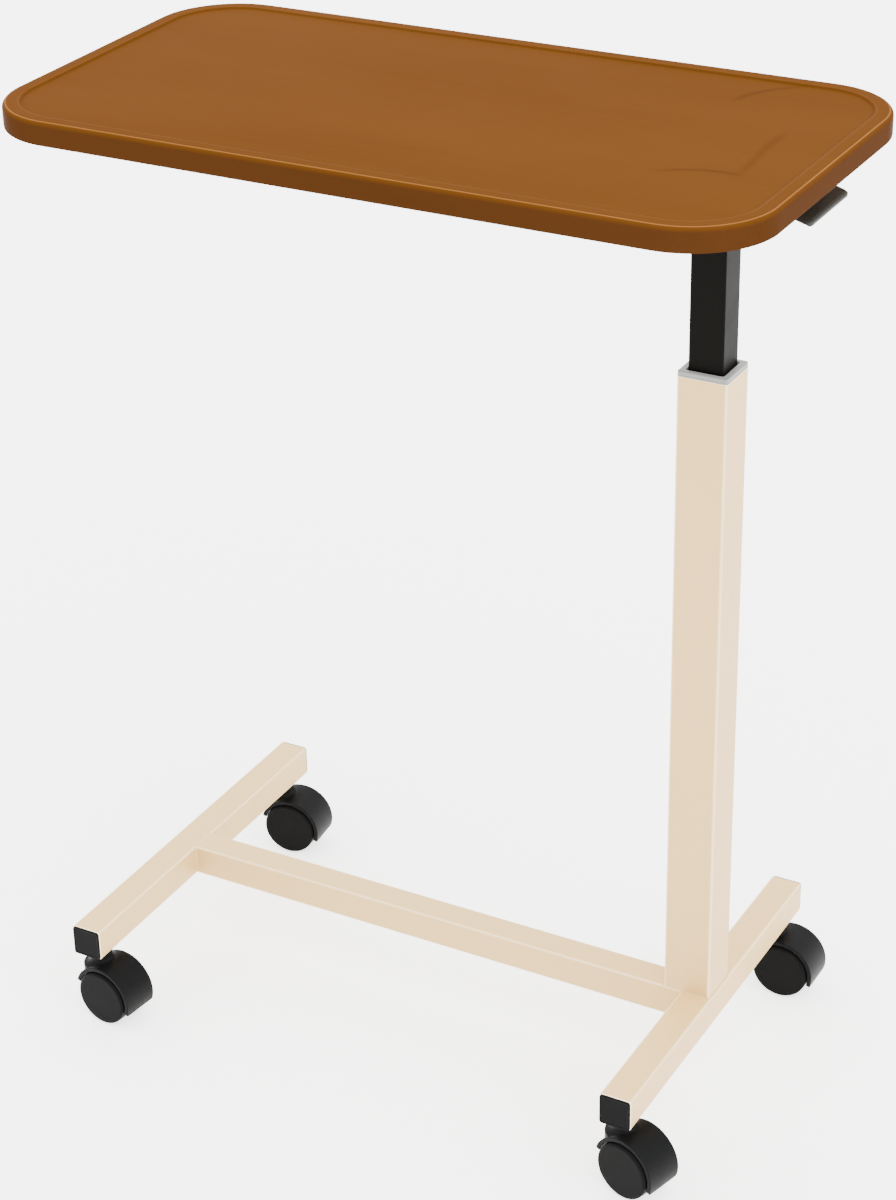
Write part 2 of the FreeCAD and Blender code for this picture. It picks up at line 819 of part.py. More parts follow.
def sector(sketch, radius, start, finish):
    """Part of a disc round the axle, closed by the chord between its two ends."""
    middle = Vector(d.caster_trail.value, d.wheel_radius.value, 0)
    first, last = math.radians(start.value), math.radians(finish.value)
    disc = Part.Circle(middle, Vector(0, 0, 1), radius.value)
    arc = sketch.addGeometry(Part.ArcOfCircle(disc, first, last))
    ends = [middle + radius.value * Vector(math.cos(a), math.sin(a), 0) for a in (last, first)]
    chord = sketch.addGeometry(Part.LineSegment(*ends))
    sketch.addConstraint(Sketcher.Constraint("Coincident", arc, 2, chord, 1))
    sketch.addConstraint(Sketcher.Constraint("Coincident", chord, 2, arc, 1))
    pin_point(sketch, arc, 3, d.caster_trail, d.wheel_radius)
    for corner, angle in ((1, start), (2, finish)):
        rise = d.wheel_radius + radius * sine(angle)
        rule = Sketcher.Constraint("DistanceY", -1, 1, arc, corner, rise.value)
        bind(sketch, f"Constraints[{sketch.addConstraint(rule)}]", rise)
    rule = sketch.addConstraint(Sketcher.Constraint("Radius", arc, radius.value))
    bind(sketch, f"Constraints[{rule}]", radius)


def caster_wheel(name):
    """Cup-shaped wheel with a closed face, a hollow back and a blind hub bore."""
    body = new_body(name)
    profile = new_sketch(body, "XZ_Plane")
    radius, face, back = d.wheel_radius, d.wheel_face, d.wheel_inner_face
    disc_back = face - d.wheel_disc
    bore_end = d.axle_reach + d.bore_clearance
    bore = d.axle_radius + d.running_gap
    outline(profile, [
        (0, bore_end), (bore, bore_end), (bore, back), (d.wheel_hub_radius, back),
        (d.wheel_hub_radius, disc_back), (radius - d.wheel_rim, disc_back),
        (radius - d.wheel_rim, back), (radius, back), (radius, face), (0, face),
    ])
    revolve(body, profile)
    outer = 2 * radius.value - NEAR
    for rounding, level in ((d.wheel_round, face.value), (d.wheel_back_round, back.value)):
        round_edges(
            body, rounding,
            lambda edge: edge.BoundBox.XLength > outer and edge.BoundBox.ZLength < NEAR
            and abs(edge.BoundBox.Center.z - level) < NEAR,
        )
    return body


def caster_stem(name):
    """Threaded stem with a flange against the tube and a plain swivel pin below it."""
    body = new_body(f"{name}_stem")
    profile = new_sketch(body, "XZ_Plane")
    flange_bottom = d.tube_underside - d.stem_flange
    outline(profile, [
        (0, d.swivel_pin_bottom), (d.swivel_pin_radius, d.swivel_pin_bottom),
        (d.swivel_pin_radius, flange_bottom), (d.stem_flange_radius, flange_bottom),
        (d.stem_flange_radius, d.tube_underside), (d.stem_radius, d.tube_underside),
        (d.stem_radius, d.tube_underside + d.stem_top), (0, d.tube_underside + d.stem_top),
    ])
    revolve(body, profile)
    return body


def stem_place(side, end):
    return side * tube_center_x - d.base_shift, end * d.stem_inset


def caster(name, side, end, swivel):
    x, y = stem_place(side, end)
    turn = Rotation(Vector(0, 0, 1), swivel)
    keep(put(caster_stem(name), x, y, 0), f"{name}_caster_stem")
    keep(put(caster_hood(name), x, y, 0, turn), f"{name}_caster_hood")
    heading = as_size(swivel)
    wheel_x = x + d.caster_trail * cosine(heading)
    wheel_y = y + d.caster_trail * sine(heading)
    across = turn * Rotation(Vector(1, 0, 0), -90)
    for which, facing in (("near", -1), ("far", 1)):
        outward = turn * Rotation(Vector(1, 0, 0), -90 * facing)
        wheel = caster_wheel(f"{name}_{which}_wheel")
        keep(put(wheel, wheel_x, wheel_y, d.wheel_radius, outward), f"{name}_caster_{which}_wheel")
    axle = cylinder(f"{name}_axle_bar", d.axle_radius, 2 * d.axle_reach)
    near_x = wheel_x + d.axle_reach * sine(heading)
    near_y = wheel_y - d.axle_reach * cosine(heading)
    keep(put(axle, near_x, near_y, d.wheel_radius, across), f"{name}_caster_axle")


def caster_nuts():
    """Nuts inside the floor tubes that the caster stems screw into."""
    nuts = []
    for name, (side, end, _) in CASTERS.items():
        x, y = stem_place(side, end)
        weld_nut = nut(f"{name}_nut", d.nut_flats, d.stem_radius, d.nut_height)
        nuts.append(put(weld_nut, x, y, d.tube_underside + d.tube_wall))
    keep(group("nut_group", nuts), "caster_nuts")


# ---------------------------------------------------------------- assembly


def build():
    floor_tube("left_floor_tube", -1)
    floor_tube("right_floor_tube", 1)
    cross_tube()
    for name, (side, end, _) in CASTERS.items():
        end_cap(name, side, end)
    outer_column()
    column_collar()
    column_foot()
    spring_post()
    gas_cylinder()
    cylinder_gland()
    inner_column()
    lower_glide()
    piston_rod()
    spring_bridge()
    release_pin()
    tabletop()
    tabletop_fixings()
    top_channel()
    hinge_pin()
    release_lever()
    caster_nuts()
    for name, (side, end, swivel) in CASTERS.items():
        caster(name, side, end, swivel)
    doc.recompute()


def check():
    for item in doc.Objects:
        if "Invalid" in item.State or "Error" in item.State:
            raise RuntimeError(f"{item.Name} is not valid: {item.State}")
    for piece in pieces:
        if piece.Shape.isNull() or not piece.Shape.isValid():
            raise RuntimeError(f"{piece.Label} has no valid shape")


def export():
    os.makedirs("parts", exist_ok=True)
    for piece in pieces:
        piece.Shape.exportStep(f"parts/{piece.Label}.step")
        print(f"{piece.Label}: {len(piece.Shape.Solids)} solid, {piece.Shape.Volume:.0f} mm3")


build()
check()
export()
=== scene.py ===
"""Looks of the overbed table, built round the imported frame. Metres, +Z up."""

import json
import math

import bmesh
import bpy
from mathutils import Matrix, Vector


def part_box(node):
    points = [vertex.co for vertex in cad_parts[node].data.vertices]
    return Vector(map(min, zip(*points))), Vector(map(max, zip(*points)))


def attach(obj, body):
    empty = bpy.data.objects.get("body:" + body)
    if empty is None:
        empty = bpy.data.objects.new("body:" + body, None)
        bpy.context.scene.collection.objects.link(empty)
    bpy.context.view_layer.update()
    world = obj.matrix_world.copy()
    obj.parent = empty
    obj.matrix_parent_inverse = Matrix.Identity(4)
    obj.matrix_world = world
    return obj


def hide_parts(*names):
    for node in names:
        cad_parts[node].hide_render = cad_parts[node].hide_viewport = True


MM = 0.001

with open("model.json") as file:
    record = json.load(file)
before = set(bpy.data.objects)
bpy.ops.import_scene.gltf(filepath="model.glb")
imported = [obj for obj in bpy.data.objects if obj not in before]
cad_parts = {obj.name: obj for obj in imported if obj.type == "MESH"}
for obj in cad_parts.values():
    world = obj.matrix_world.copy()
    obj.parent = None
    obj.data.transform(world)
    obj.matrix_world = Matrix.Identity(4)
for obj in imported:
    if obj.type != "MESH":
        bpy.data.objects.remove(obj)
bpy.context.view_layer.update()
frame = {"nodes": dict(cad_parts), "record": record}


# ---------------------------------------------------------------- camera, floor and light


# Camera: place in metres, turn about the vertical, tilt down and lean in degrees, and lens.
CAMERA_PLACE = (1.2145, -2.1883, 1.8174)
CAMERA_YAW = 30.705
CAMERA_PITCH = 28.25
CAMERA_ROLL = -1.949
CAMERA_LENS = 86.35
CAMERA_SHIFT = (0.0602, 0.0082)

# Strength of the sky and of the floor's own glow.
SKY = 3.6
FLOOR_GLOW = 0.9

# How far the floor reaches to each side, and how far it lies below the wheels, in metres.
FLOOR_REACH = 14.0
FLOOR_DROP = 0.0005

# Lamps: name, strength, where the light comes from, spread in degrees, and whether it only fills.
LAMPS = (
    ("key", 1.9, (0.66, -0.32, 0.68), 50.0, False),
    ("front", 2.4, (0.62, -0.32, 0.72), 70.0, True),
    ("back", 6.0, (-0.66, 0.56, 0.50), 60.0, True),
)


def add_camera():
    """Looks down at the table from its front right."""
    data = bpy.data.cameras.new("camera")
    data.sensor_width = 36.0
    data.lens = CAMERA_LENS
    data.shift_x, data.shift_y = CAMERA_SHIFT
    data.clip_start = 0.1
    data.clip_end = 50.0
    camera = bpy.data.objects.new("camera", data)
    bpy.context.scene.collection.objects.link(camera)
    yaw = math.radians(CAMERA_YAW)
    pitch = math.radians(CAMERA_PITCH)
    roll = math.radians(CAMERA_ROLL)
    forward = Vector((-math.sin(yaw), math.cos(yaw), 0.0)) * math.cos(pitch)
    forward.z = -math.sin(pitch)
    level = forward.cross(Vector((0.0, 0.0, 1.0))).normalized()
    upright = level.cross(forward)
    right = level * math.cos(roll) + upright * math.sin(roll)
    up = upright * math.cos(roll) - level * math.sin(roll)
    turn = Matrix((right, up, -forward)).transposed()
    camera.matrix_world = Matrix.Translation(CAMERA_PLACE) @ turn.to_4x4()
    bpy.context.scene.camera = camera


def add_sun(name, strength, towards, spread, fill):
    """Soft distant lamp towards the direction given. A fill lamp throws no shadow or glint."""
    data = bpy.data.lights.new(name, "SUN")
    data.energy = strength
    data.angle = math.radians(spread)
    data.use_shadow = not fill
    light = bpy.data.objects.new(name, data)
    bpy.context.scene.collection.objects.link(light)
    light.location = Vector(towards) * 4.0
    light.visible_glossy = not fill
    light.rotation_mode = "QUATERNION"
    light.rotation_quaternion = (-Vector(towards)).to_track_quat("-Z", "Y")


def add_studio():
    """White floor under a bright even sky, with wide soft lamps from the front right and rear left."""
    world = bpy.data.worlds.new("studio")
    world.use_nodes = True
    background = world.node_tree.nodes["Background"]
    background.inputs["Color"].default_value = (1.0, 1.0, 1.0, 1.0)
    background.inputs["Strength"].default_value = SKY
    bpy.context.scene.world = world
    mesh = bpy.data.meshes.new("floor")
    reach = FLOOR_REACH
    corners = [(-reach, -reach, 0), (reach, -reach, 0), (reach, reach, 0), (-reach, reach, 0)]
    mesh.from_pydata(corners, [], [(0, 1, 2, 3)])
    floor = bpy.data.objects.new("floor", mesh)
    bpy.context.scene.collection.objects.link(floor)
    floor.location.z = -FLOOR_DROP
    material = bpy.data.materials.new("floor")
    material.use_nodes = True
    surface = material.node_tree.nodes["Principled BSDF"]
    surface.inputs["Base Color"].default_value = (0.95, 0.95, 0.95, 1.0)
    surface.inputs["Roughness"].default_value = 0.9
    surface.inputs["Specular IOR Level"].default_value = 0.1
    surface.inputs["Emission Color"].default_value = (1.0, 1.0, 1.0, 1.0)
    surface.inputs["Emission Strength"].default_value = FLOOR_GLOW
    floor.data.materials.append(material)
    for name, strength, towards, spread, fill in LAMPS:
        add_sun(name, strength, Vector(towards).normalized(), spread, fill)


# ---------------------------------------------------------------- materials


class Shader:
    """A small procedural material: one principled surface fed by noise and bump."""

    def __init__(self, name, colour, roughness, metallic=0.0, specular=0.5):
        self.material = bpy.data.materials.new(name)
        self.material.use_nodes = True
        self.tree = self.material.node_tree
        self.surface = self.tree.nodes["Principled BSDF"]
        self.surface.inputs["Base Color"].default_value = (*colour, 1.0)
        self.surface.inputs["Roughness"].default_value = roughness
        self.surface.inputs["Metallic"].default_value = metallic
        self.surface.inputs["Specular IOR Level"].default_value = specular
        self.height = None

    def node(self, kind, **settings):
        """New node. Each setting is a property of the node or the value of an input."""
        made = self.tree.nodes.new(kind)
        for key, value in settings.items():
            if hasattr(made, key):
                setattr(made, key, value)
            else:
                made.inputs[key.replace("_", " ")].default_value = value
        return made

    def link(self, source, target):
        self.tree.links.new(source, target)

    def place(self, scale):
        """Coordinates of the piece itself, stretched by scale."""
        coordinates = self.node("ShaderNodeTexCoord")
        mapping = self.node("ShaderNodeMapping")
        mapping.inputs["Scale"].default_value = scale
        self.link(coordinates.outputs["Object"], mapping.inputs["Vector"])
        return mapping.outputs["Vector"]

    def noise(self, scale, detail=3.0, stretch=(1.0, 1.0, 1.0), distortion=0.0):
        """Cloudy texture of the given scale per metre."""
        cloud = self.node("ShaderNodeTexNoise", Scale=scale, Detail=detail, Distortion=distortion)
        self.link(self.place(stretch), cloud.inputs["Vector"])
        return cloud.outputs["Fac"]

    def ramp(self, source, stops, smooth=True):
        """Colour or value ramp: stops are (position, value or colour)."""
        ramp = self.node("ShaderNodeValToRGB")
        band = ramp.color_ramp
        band.interpolation = "EASE" if smooth else "LINEAR"
        while len(band.elements) < len(stops):
            band.elements.new(0.5)
        for element, (position, value) in zip(band.elements, stops):
            element.position = position
            shade = value if hasattr(value, "__len__") else (value, value, value)
            element.color = (*shade, 1.0)
        self.link(source, ramp.inputs["Fac"])
        return ramp.outputs["Color"]

    def mix(self, factor, first, second, blend="MIX"):
        """Mix of two colours. Each argument is a value or another node's output."""
        made = self.node("ShaderNodeMix", data_type="RGBA", blend_type=blend)
        for socket, value in ((0, factor), (6, first), (7, second)):
            if hasattr(value, "links"):
                self.link(value, made.inputs[socket])
            else:
                made.inputs[socket].default_value = value
        return made.outputs[2]

    def colour(self, source):
        self.link(source, self.surface.inputs["Base Color"])

    def rough(self, source, low, high):
        """Roughness that follows a texture between two values."""
        spread = self.node("ShaderNodeMapRange")
        spread.inputs["To Min"].default_value = low
        spread.inputs["To Max"].default_value = high
        self.link(source, spread.inputs["Value"])
        self.link(spread.outputs["Result"], self.surface.inputs["Roughness"])

    def bump(self, source, depth):
        """Adds a layer of relief of the given depth in metres."""
        bump = self.node("ShaderNodeBump", Strength=1.0, Distance=depth)
        self.link(source, bump.inputs["Height"])
        if self.height is not None:
            self.link(self.height, bump.inputs["Normal"])
        self.height = bump.outputs["Normal"]
        self.link(self.height, self.surface.inputs["Normal"])


def powder_coat(name, light, dark, roughness, peel, specular=0.5, painted_highlight=None):
    """Baked paint: a fine orange-peel skin, a faint drift in tone and, given a pale edge colour, a
    painted highlight along the edges that edge_tone marks.
    """
    shader = Shader(name, light, roughness, specular=specular)
    drift = shader.noise(scale=5.0, detail=4.0)
    paint = shader.ramp(drift, [(0.3, dark), (0.7, light)])
    # Painted highlight: edge_tone mixes the pale edge colour in along corners and rounded ends.
    if painted_highlight is not None:
        edge = shader.node("ShaderNodeAttribute", attribute_name="edge_tone")
        paint = shader.mix(edge.outputs["Fac"], paint, (*painted_highlight, 1.0))
    shader.colour(paint)
    shader.bump(shader.noise(scale=420.0, detail=2.0), peel)
    shader.rough(shader.noise(scale=60.0, detail=5.0), roughness - 0.05, roughness + 0.07)
    return shader.material


def moulded_plastic(name, light, dark, roughness, grain, specular=0.5):
    """Injection-moulded plastic: a fine spark texture and slight flow marks."""
    shader = Shader(name, light, roughness, specular=specular)
    flow = shader.noise(scale=18.0, detail=3.0, distortion=0.6)
    shader.colour(shader.ramp(flow, [(0.3, dark), (0.7, light)]))
    shader.bump(shader.noise(scale=700.0, detail=1.5), grain)
    shader.rough(shader.noise(scale=90.0, detail=4.0), roughness - 0.06, roughness + 0.06)
    return shader.material


def plated_steel(name, light, dark, roughness):
    """Bright metal with a fine tooth and slight tarnish."""
    shader = Shader(name, light, roughness, metallic=1.0)
    tarnish = shader.noise(scale=45.0, detail=5.0)
    shader.colour(shader.ramp(tarnish, [(0.3, dark), (0.65, light)]))
    tooth = shader.noise(scale=900.0, detail=2.0)
    shader.bump(tooth, 6e-6)
    shader.rough(tooth, roughness - 0.06, roughness + 0.1)
    return shader.material


# Painted shade and highlight on the foil: its red, green and blue down its sides and underside,
# darkened as painted shade, and along its crest, lightened as a painted highlight, as multiples of
# those on top.
PAINTED_SIDE_SHADE = (0.58, 0.59, 0.9)
PAINTED_CREST_HIGHLIGHT = (2.8, 3.3, 5.5)

# Dark curved lines in the foil's print. Each runs along one axis and wanders across another, both
# (axis, low, high) in metres. Then come its path in shares of the two, its half width in metres,
# and its tone as a share of the foil's.
GRAIN_LINES = (
    (("Y", 0.112, 0.190), ("X", 0.225, 0.300),
     ((0.0, 0.12), (0.35, 0.22), (0.65, 0.42), (1.0, 0.85)), 0.006, 0.78),
    (("X", 0.240, 0.330), ("Y", -0.100, -0.030),
     ((0.0, 0.20), (0.4, 0.52), (0.7, 0.60), (1.0, 0.57)), 0.0045, 0.76),
    (("Y", -0.070, 0.070), ("X", 0.285, 0.345),
     ((0.0, 0.52), (0.3, 0.50), (0.6, 0.44), (1.0, 0.46)), 0.006, 0.86),
)


def stroke(shader, along, across, points, width):
    """Soft line of the printed grain, 1 on the line and 0 away from it."""
    place = shader.node("ShaderNodeSeparateXYZ")
    coordinates = shader.node("ShaderNodeTexCoord")
    shader.link(coordinates.outputs["Object"], place.inputs["Vector"])
    shares = []
    for axis, low, high in (along, across):
        share = shader.node("ShaderNodeMapRange", clamp=True)
        share.inputs["From Min"].default_value = low
        share.inputs["From Max"].default_value = high
        shader.link(place.outputs[axis], share.inputs["Value"])
        shares.append(share.outputs["Result"])
    path = shader.node("ShaderNodeFloatCurve")
    curve = path.mapping.curves[0]
    curve.points[0].location = points[0]
    curve.points[1].location = points[-1]
    for point in points[1:-1]:
        curve.points.new(*point)
    path.mapping.update()
    shader.link(shares[0], path.inputs["Value"])
    offset = shader.node("ShaderNodeMath", operation="SUBTRACT")
    shader.link(shares[1], offset.inputs[0])
    shader.link(path.outputs["Value"], offset.inputs[1])
    away = shader.node("ShaderNodeMath", operation="ABSOLUTE")
    shader.link(offset.outputs["Value"], away.inputs[0])
    reach = width / (across[2] - across[1])
    line = shader.ramp(away.outputs["Value"], [(0.0, 1.0), (reach * 0.35, 0.75), (reach, 0.0)])
    fade = shader.ramp(shares[0], [(0.01, 0.0), (0.25, 1.0), (0.75, 1.0), (0.99, 0.0)])
    return shader.mix(1.0, line, fade, "MULTIPLY")


def wood_foil():
    """Printed wood-look foil, pressed smooth over the board, with a faint long grain, painted shade
    down its sides and in its tray step, and a painted highlight along its crest.
    """
    shader = Shader("wood_foil", (0.10, 0.040, 0.0088), 0.36, specular=0.001)
    shader.surface.inputs["Specular Tint"].default_value = (1.0, 0.62, 0.34, 1.0)
    drift = shader.noise(scale=2.6, detail=3.0, stretch=(0.6, 1.6, 1.0))
    base = shader.ramp(drift, [(0.25, (0.0559, 0.0195, 0.0033)), (0.75, (0.0629, 0.0225, 0.0042))])
    fibre = shader.noise(scale=34.0, detail=6.0, stretch=(0.16, 5.0, 1.0), distortion=0.25)
    grain = shader.ramp(fibre, [(0.30, 0.93), (0.52, 1.0), (0.75, 1.04)])
    toned = shader.mix(0.5, base, grain, "MULTIPLY")
    pores = shader.noise(scale=160.0, detail=2.0, stretch=(0.08, 6.0, 1.0))
    pitted = shader.ramp(pores, [(0.30, 0.94), (0.42, 1.0)])
    toned = shader.mix(0.3, toned, pitted, "MULTIPLY")
    for along, across, points, width, depth in GRAIN_LINES:
        line = stroke(shader, along, across, points, width)
        shade = (depth, depth * 0.97, depth * 0.9, 1.0)
        toned = shader.mix(line, toned, shader.mix(1.0, toned, shade, "MULTIPLY"))
    # Painted light and shade read from edge_tone: darker sides and tray step as painted shade, a paler
    # crest as a painted highlight.
    edge = shader.node("ShaderNodeAttribute", attribute_name="edge_tone")
    tone = shader.ramp(edge.outputs["Fac"], [
        (0.0, PAINTED_SIDE_SHADE), (0.5, 1.0), (1.0, PAINTED_CREST_HIGHLIGHT)], smooth=False)
    shader.colour(shader.mix(1.0, toned, tone, "MULTIPLY"))
    shader.bump(fibre, 1.2e-5)
    shader.bump(shader.noise(scale=480.0, detail=2.0), 8e-6)
    shader.rough(shader.noise(scale=22.0, detail=4.0), 0.32, 0.42)
    return shader.material


def fibreboard():
    """Raw board: matted fibres in two tones."""
    shader = Shader("fibreboard", (0.16, 0.10, 0.05), 0.85, specular=0.1)
    fibres = shader.noise(scale=260.0, detail=6.0, stretch=(1.0, 1.0, 3.0))
    shader.colour(shader.ramp(fibres, [(0.3, (0.11, 0.062, 0.028)), (0.7, (0.19, 0.12, 0.062))]))
    shader.bump(fibres, 6e-5)
    return shader.material


def lever_enamel():
    """Dark metallic grey enamel on pressed steel, paler on the rolled lip that edge_tone marks: a
    painted highlight.
    """
    shader = Shader("lever_enamel", (0.010, 0.009, 0.008), 0.38, specular=0.05)
    cloud = shader.noise(scale=40.0, detail=5.0)
    enamel = shader.ramp(cloud, [(0.3, (0.0072, 0.0062, 0.0054)), (0.7, (0.0118, 0.0104, 0.0092))])
    # Painted highlight: edge_tone lightens the enamel on the lip.
    edge = shader.node("ShaderNodeAttribute", attribute_name="edge_tone")
    shader.colour(shader.mix(edge.outputs["Fac"], enamel, (0.022, 0.023, 0.020, 1.0)))
    shader.bump(shader.noise(scale=600.0, detail=2.0), 1.2e-5)
    shader.rough(cloud, 0.26, 0.40)
    return shader.material


# Each takes a light and a dark tone and a roughness, and paints and plastics a depth of relief.
MATERIALS = {
    # The cream paint's pale edge colour paints a highlight along the tubes' corners and ends.
    "cream_steel": powder_coat(
        "cream_paint", (0.515, 0.328, 0.114), (0.502, 0.319, 0.110), 0.42, 1.6e-5, specular=0.45,
        painted_highlight=(0.90, 0.74, 0.48)),
    "black_steel": powder_coat(
        "black_paint", (0.002592, 0.002448, 0.001944), (0.00216, 0.002016, 0.001584), 0.42, 1.6e-5,
        specular=0.021),
    "grey_plastic": moulded_plastic(
        "grey_nylon", (0.17, 0.1734, 0.1666), (0.1496, 0.153, 0.1462), 0.42, 1e-5, specular=0.3),
    "black_plastic": moulded_plastic(
        "black_cap", (0.0025, 0.0025, 0.0026), (0.0021, 0.0021, 0.0022), 0.5, 2e-5, specular=0.035),
    "caster_plastic": moulded_plastic(
        "black_hood", (0.002592, 0.002736, 0.002952), (0.00216, 0.002304, 0.00252), 0.44, 1.4e-5,
        specular=0.048),
    "wheel_plastic": moulded_plastic(
        "black_wheel", (0.00288, 0.00288, 0.00288), (0.002376, 0.002376, 0.002376), 0.48, 1.6e-5,
        specular=0.028),
    "zinc_steel": plated_steel("zinc", (0.62, 0.62, 0.60), (0.48, 0.48, 0.46), roughness=0.3),
    "bare_steel": plated_steel("mild_steel", (0.42, 0.41, 0.40), (0.30, 0.29, 0.28), roughness=0.4),
    "cylinder_black": powder_coat(
        "cylinder_paint", (0.006, 0.006, 0.006), (0.004, 0.004, 0.004), 0.3, 8e-6, specular=0.1),
    "chrome_rod": plated_steel("hard_chrome", (0.78, 0.79, 0.80), (0.70, 0.71, 0.72), roughness=0.12),
    "gland_plastic": moulded_plastic(
        "acetal", (0.01, 0.01, 0.01), (0.008, 0.008, 0.008), 0.45, 1e-5, specular=0.15),
    "nylon": moulded_plastic(
        "natural_nylon", (0.62, 0.60, 0.52), (0.57, 0.55, 0.47), 0.45, 1e-5),
    "fibreboard": fibreboard(),
    "wood_foil": wood_foil(),
    "brass": plated_steel("brass", (0.72, 0.53, 0.24), (0.60, 0.42, 0.18), roughness=0.28),
    "lever_steel": lever_enamel(),
}


# ---------------------------------------------------------------- mesh helpers


def rounded_outline(half_x, half_y, radius, steps):
    """Points of a rounded rectangle, anticlockwise, with steps + 1 points per corner."""
    radius = min(radius, half_x, half_y)
    points = []
    for quarter in range(4):
        corner = math.radians(90 * quarter)
        side_x = 1 if quarter in (0, 3) else -1
        side_y = 1 if quarter in (0, 1) else -1
        for step in range(steps + 1):
            angle = corner + math.radians(90) * step / steps
            points.append((
                side_x * (half_x - radius) + radius * math.cos(angle),
                side_y * (half_y - radius) + radius * math.sin(angle),
            ))
    return points


def skin(name, rings, loop=False, tones=None):
    """Closed surface through rings of equal length: capped at both ends, or joined in a loop.

    tones gives each ring, or each point of every ring, a tone that the material reads as edge_tone,
    which some materials turn into painted highlights and painted shade.
    """
    mesh = bpy.data.meshes.new(name)
    count = len(rings[0])
    vertices = [tuple(point) for ring in rings for point in ring]
    faces = []
    for first in range(len(rings) if loop else len(rings) - 1):
        second = (first + 1) % len(rings)
        for i in range(count):
            j = (i + 1) % count
            faces.append((first * count + i, first * count + j, second * count + j, second * count + i))
    if not loop:
        faces.append(tuple(reversed(range(count))))
        last = (len(rings) - 1) * count
        faces.append(tuple(last + i for i in range(count)))
    mesh.from_pydata(vertices, [], faces)
    if tones is not None:
        if len(tones) == len(rings):
            tones = [tone for tone in tones for _ in range(count)]
        shade = mesh.attributes.new("edge_tone", "FLOAT", "POINT")
        shade.data.foreach_set("value", tones)
    return finish_mesh(mesh, name)


def finish_mesh(mesh, name, angle=32.0):
    """Points the normals outwards, smooths gentle edges and makes the object."""
    shape = bmesh.new()
    shape.from_mesh(mesh)
    bmesh.ops.remove_doubles(shape, verts=shape.verts, dist=1e-7)
    bmesh.ops.recalc_face_normals(shape, faces=shape.faces)
    shape.to_mesh(mesh)
    shape.free()
    mesh.polygons.foreach_set("use_smooth", [True] * len(mesh.polygons))
    mesh.set_sharp_from_angle(angle=math.radians(angle))
    made = bpy.data.objects.new(name, mesh)
    bpy.context.scene.collection.objects.link(made)
    return made


def even_shading(piece):
    """Large flat faces keep flat shading beside their rounded edges."""
    made = piece.modifiers.new("even_shading", "WEIGHTED_NORMAL")
    made.keep_sharp = True
    return piece


AXES = {
    "x": Matrix(((0, 0, 1), (1, 0, 0), (0, 1, 0))).to_4x4(),
    "y": Matrix(((0, 1, 0), (0, 0, 1), (1, 0, 0))).to_4x4(),
    "z": Matrix.Identity(4),
}


def bar_rings(half_a, half_b, corner, start, end, edge, steps, axis, centre):
    """Rings of a rounded bar along an axis, its end edges rounded off by edge."""
    turn = AXES[axis]
    levels = []
    bends = 4
    for low_end in (True, False):
        outward = -1 if low_end else 1
        limit = start if low_end else end
        rounds = []
        if edge > 0:
            for bend in range(bends + 1):
                angle = math.radians(90) * bend / bends
                inset = edge * (1 - math.sin(angle))
                along = limit - outward * edge * (1 - math.cos(angle))
                rounds.append((along, inset))
        else:
            rounds.append((limit, 0.0))
        levels += rounds if low_end else list(reversed(rounds))
    rings = []
    for along, inset in levels:
        outline = rounded_outline(half_a - inset, half_b - inset, max(corner - inset, 1e-5), steps)
        rings.append([centre + turn @ Vector((a, b, along)) for a, b in outline])
    return rings


def bar(name, half_a, half_b, corner, start, end, axis, centre, edge=0.0004, steps=6):
    """Solid rounded bar along an axis."""
    rings = bar_rings(half_a, half_b, corner, start, end, edge, steps, axis, centre)
    return even_shading(skin(name, rings))


def quarter_bend(radius, height, run, rise, bends):
    """Profile points round a quarter turn: run shifts the radius by sine, rise the height by cosine."""
    turns = [math.radians(90) * bend / bends for bend in range(bends + 1)]
    return [(radius + run * math.sin(turn), height + rise * math.cos(turn)) for turn in turns]


def tube(name, half_a, half_b, corner, wall, start, end, axis, centre, edge=0.0004, steps=8):
    """Hollow bar, open at both ends, its edge_tone raised along its corners and round its ends as a
    painted highlight.
    """
    outside = bar_rings(half_a, half_b, corner, start, end, edge, steps, axis, centre)
    inner_corner = max(corner - wall, 0.0004)
    inside = bar_rings(half_a - wall, half_b - wall, inner_corner, start, end, 0.0, steps, axis, centre)
    # Painted highlight: a pale line down the middle of each corner arc, and full edge_tone on the
    # rounded ends.
    along_corner = [0.5 * math.sin(math.pi * step / steps) ** 2 for step in range(steps + 1)] * 4
    tones = []
    for index in range(len(outside)):
        round_end = edge > 0 and index not in (len(outside) // 2 - 1, len(outside) // 2)
        tones += [1.0] * len(along_corner) if round_end else along_corner
    tones += [0.0] * len(along_corner) * len(inside)
    return even_shading(skin(name, outside + list(reversed(inside)), loop=True, tones=tones))


def lathe(name, profile, steps=96, matrix=Matrix.Identity(4)):
    """Solid turned about Z from (radius, height) points that start and end on the axis."""
    mesh = bpy.data.meshes.new(name)
    vertices, faces = [], []
    first, last = profile[0], profile[-1]
    vertices.append((0.0, 0.0, first[1]))
    rows = profile[1:-1]
    for radius, height in rows:
        for step in range(steps):
            angle = 2 * math.pi * step / steps
            vertices.append((radius * math.cos(angle), radius * math.sin(angle), height))
    vertices.append((0.0, 0.0, last[1]))
    tip = len(vertices) - 1
    for step in range(steps):
        following = (step + 1) % steps
        faces.append((0, 1 + following, 1 + step))
        for row in range(len(rows) - 1):
            low, high = 1 + row * steps, 1 + (row + 1) * steps
            faces.append((low + step, low + following, high + following, high + step))
        top = 1 + (len(rows) - 1) * steps
        faces.append((tip, top + step, top + following))
    mesh.from_pydata(vertices, [], faces)
    mesh.transform(matrix)
    return finish_mesh(mesh, name)


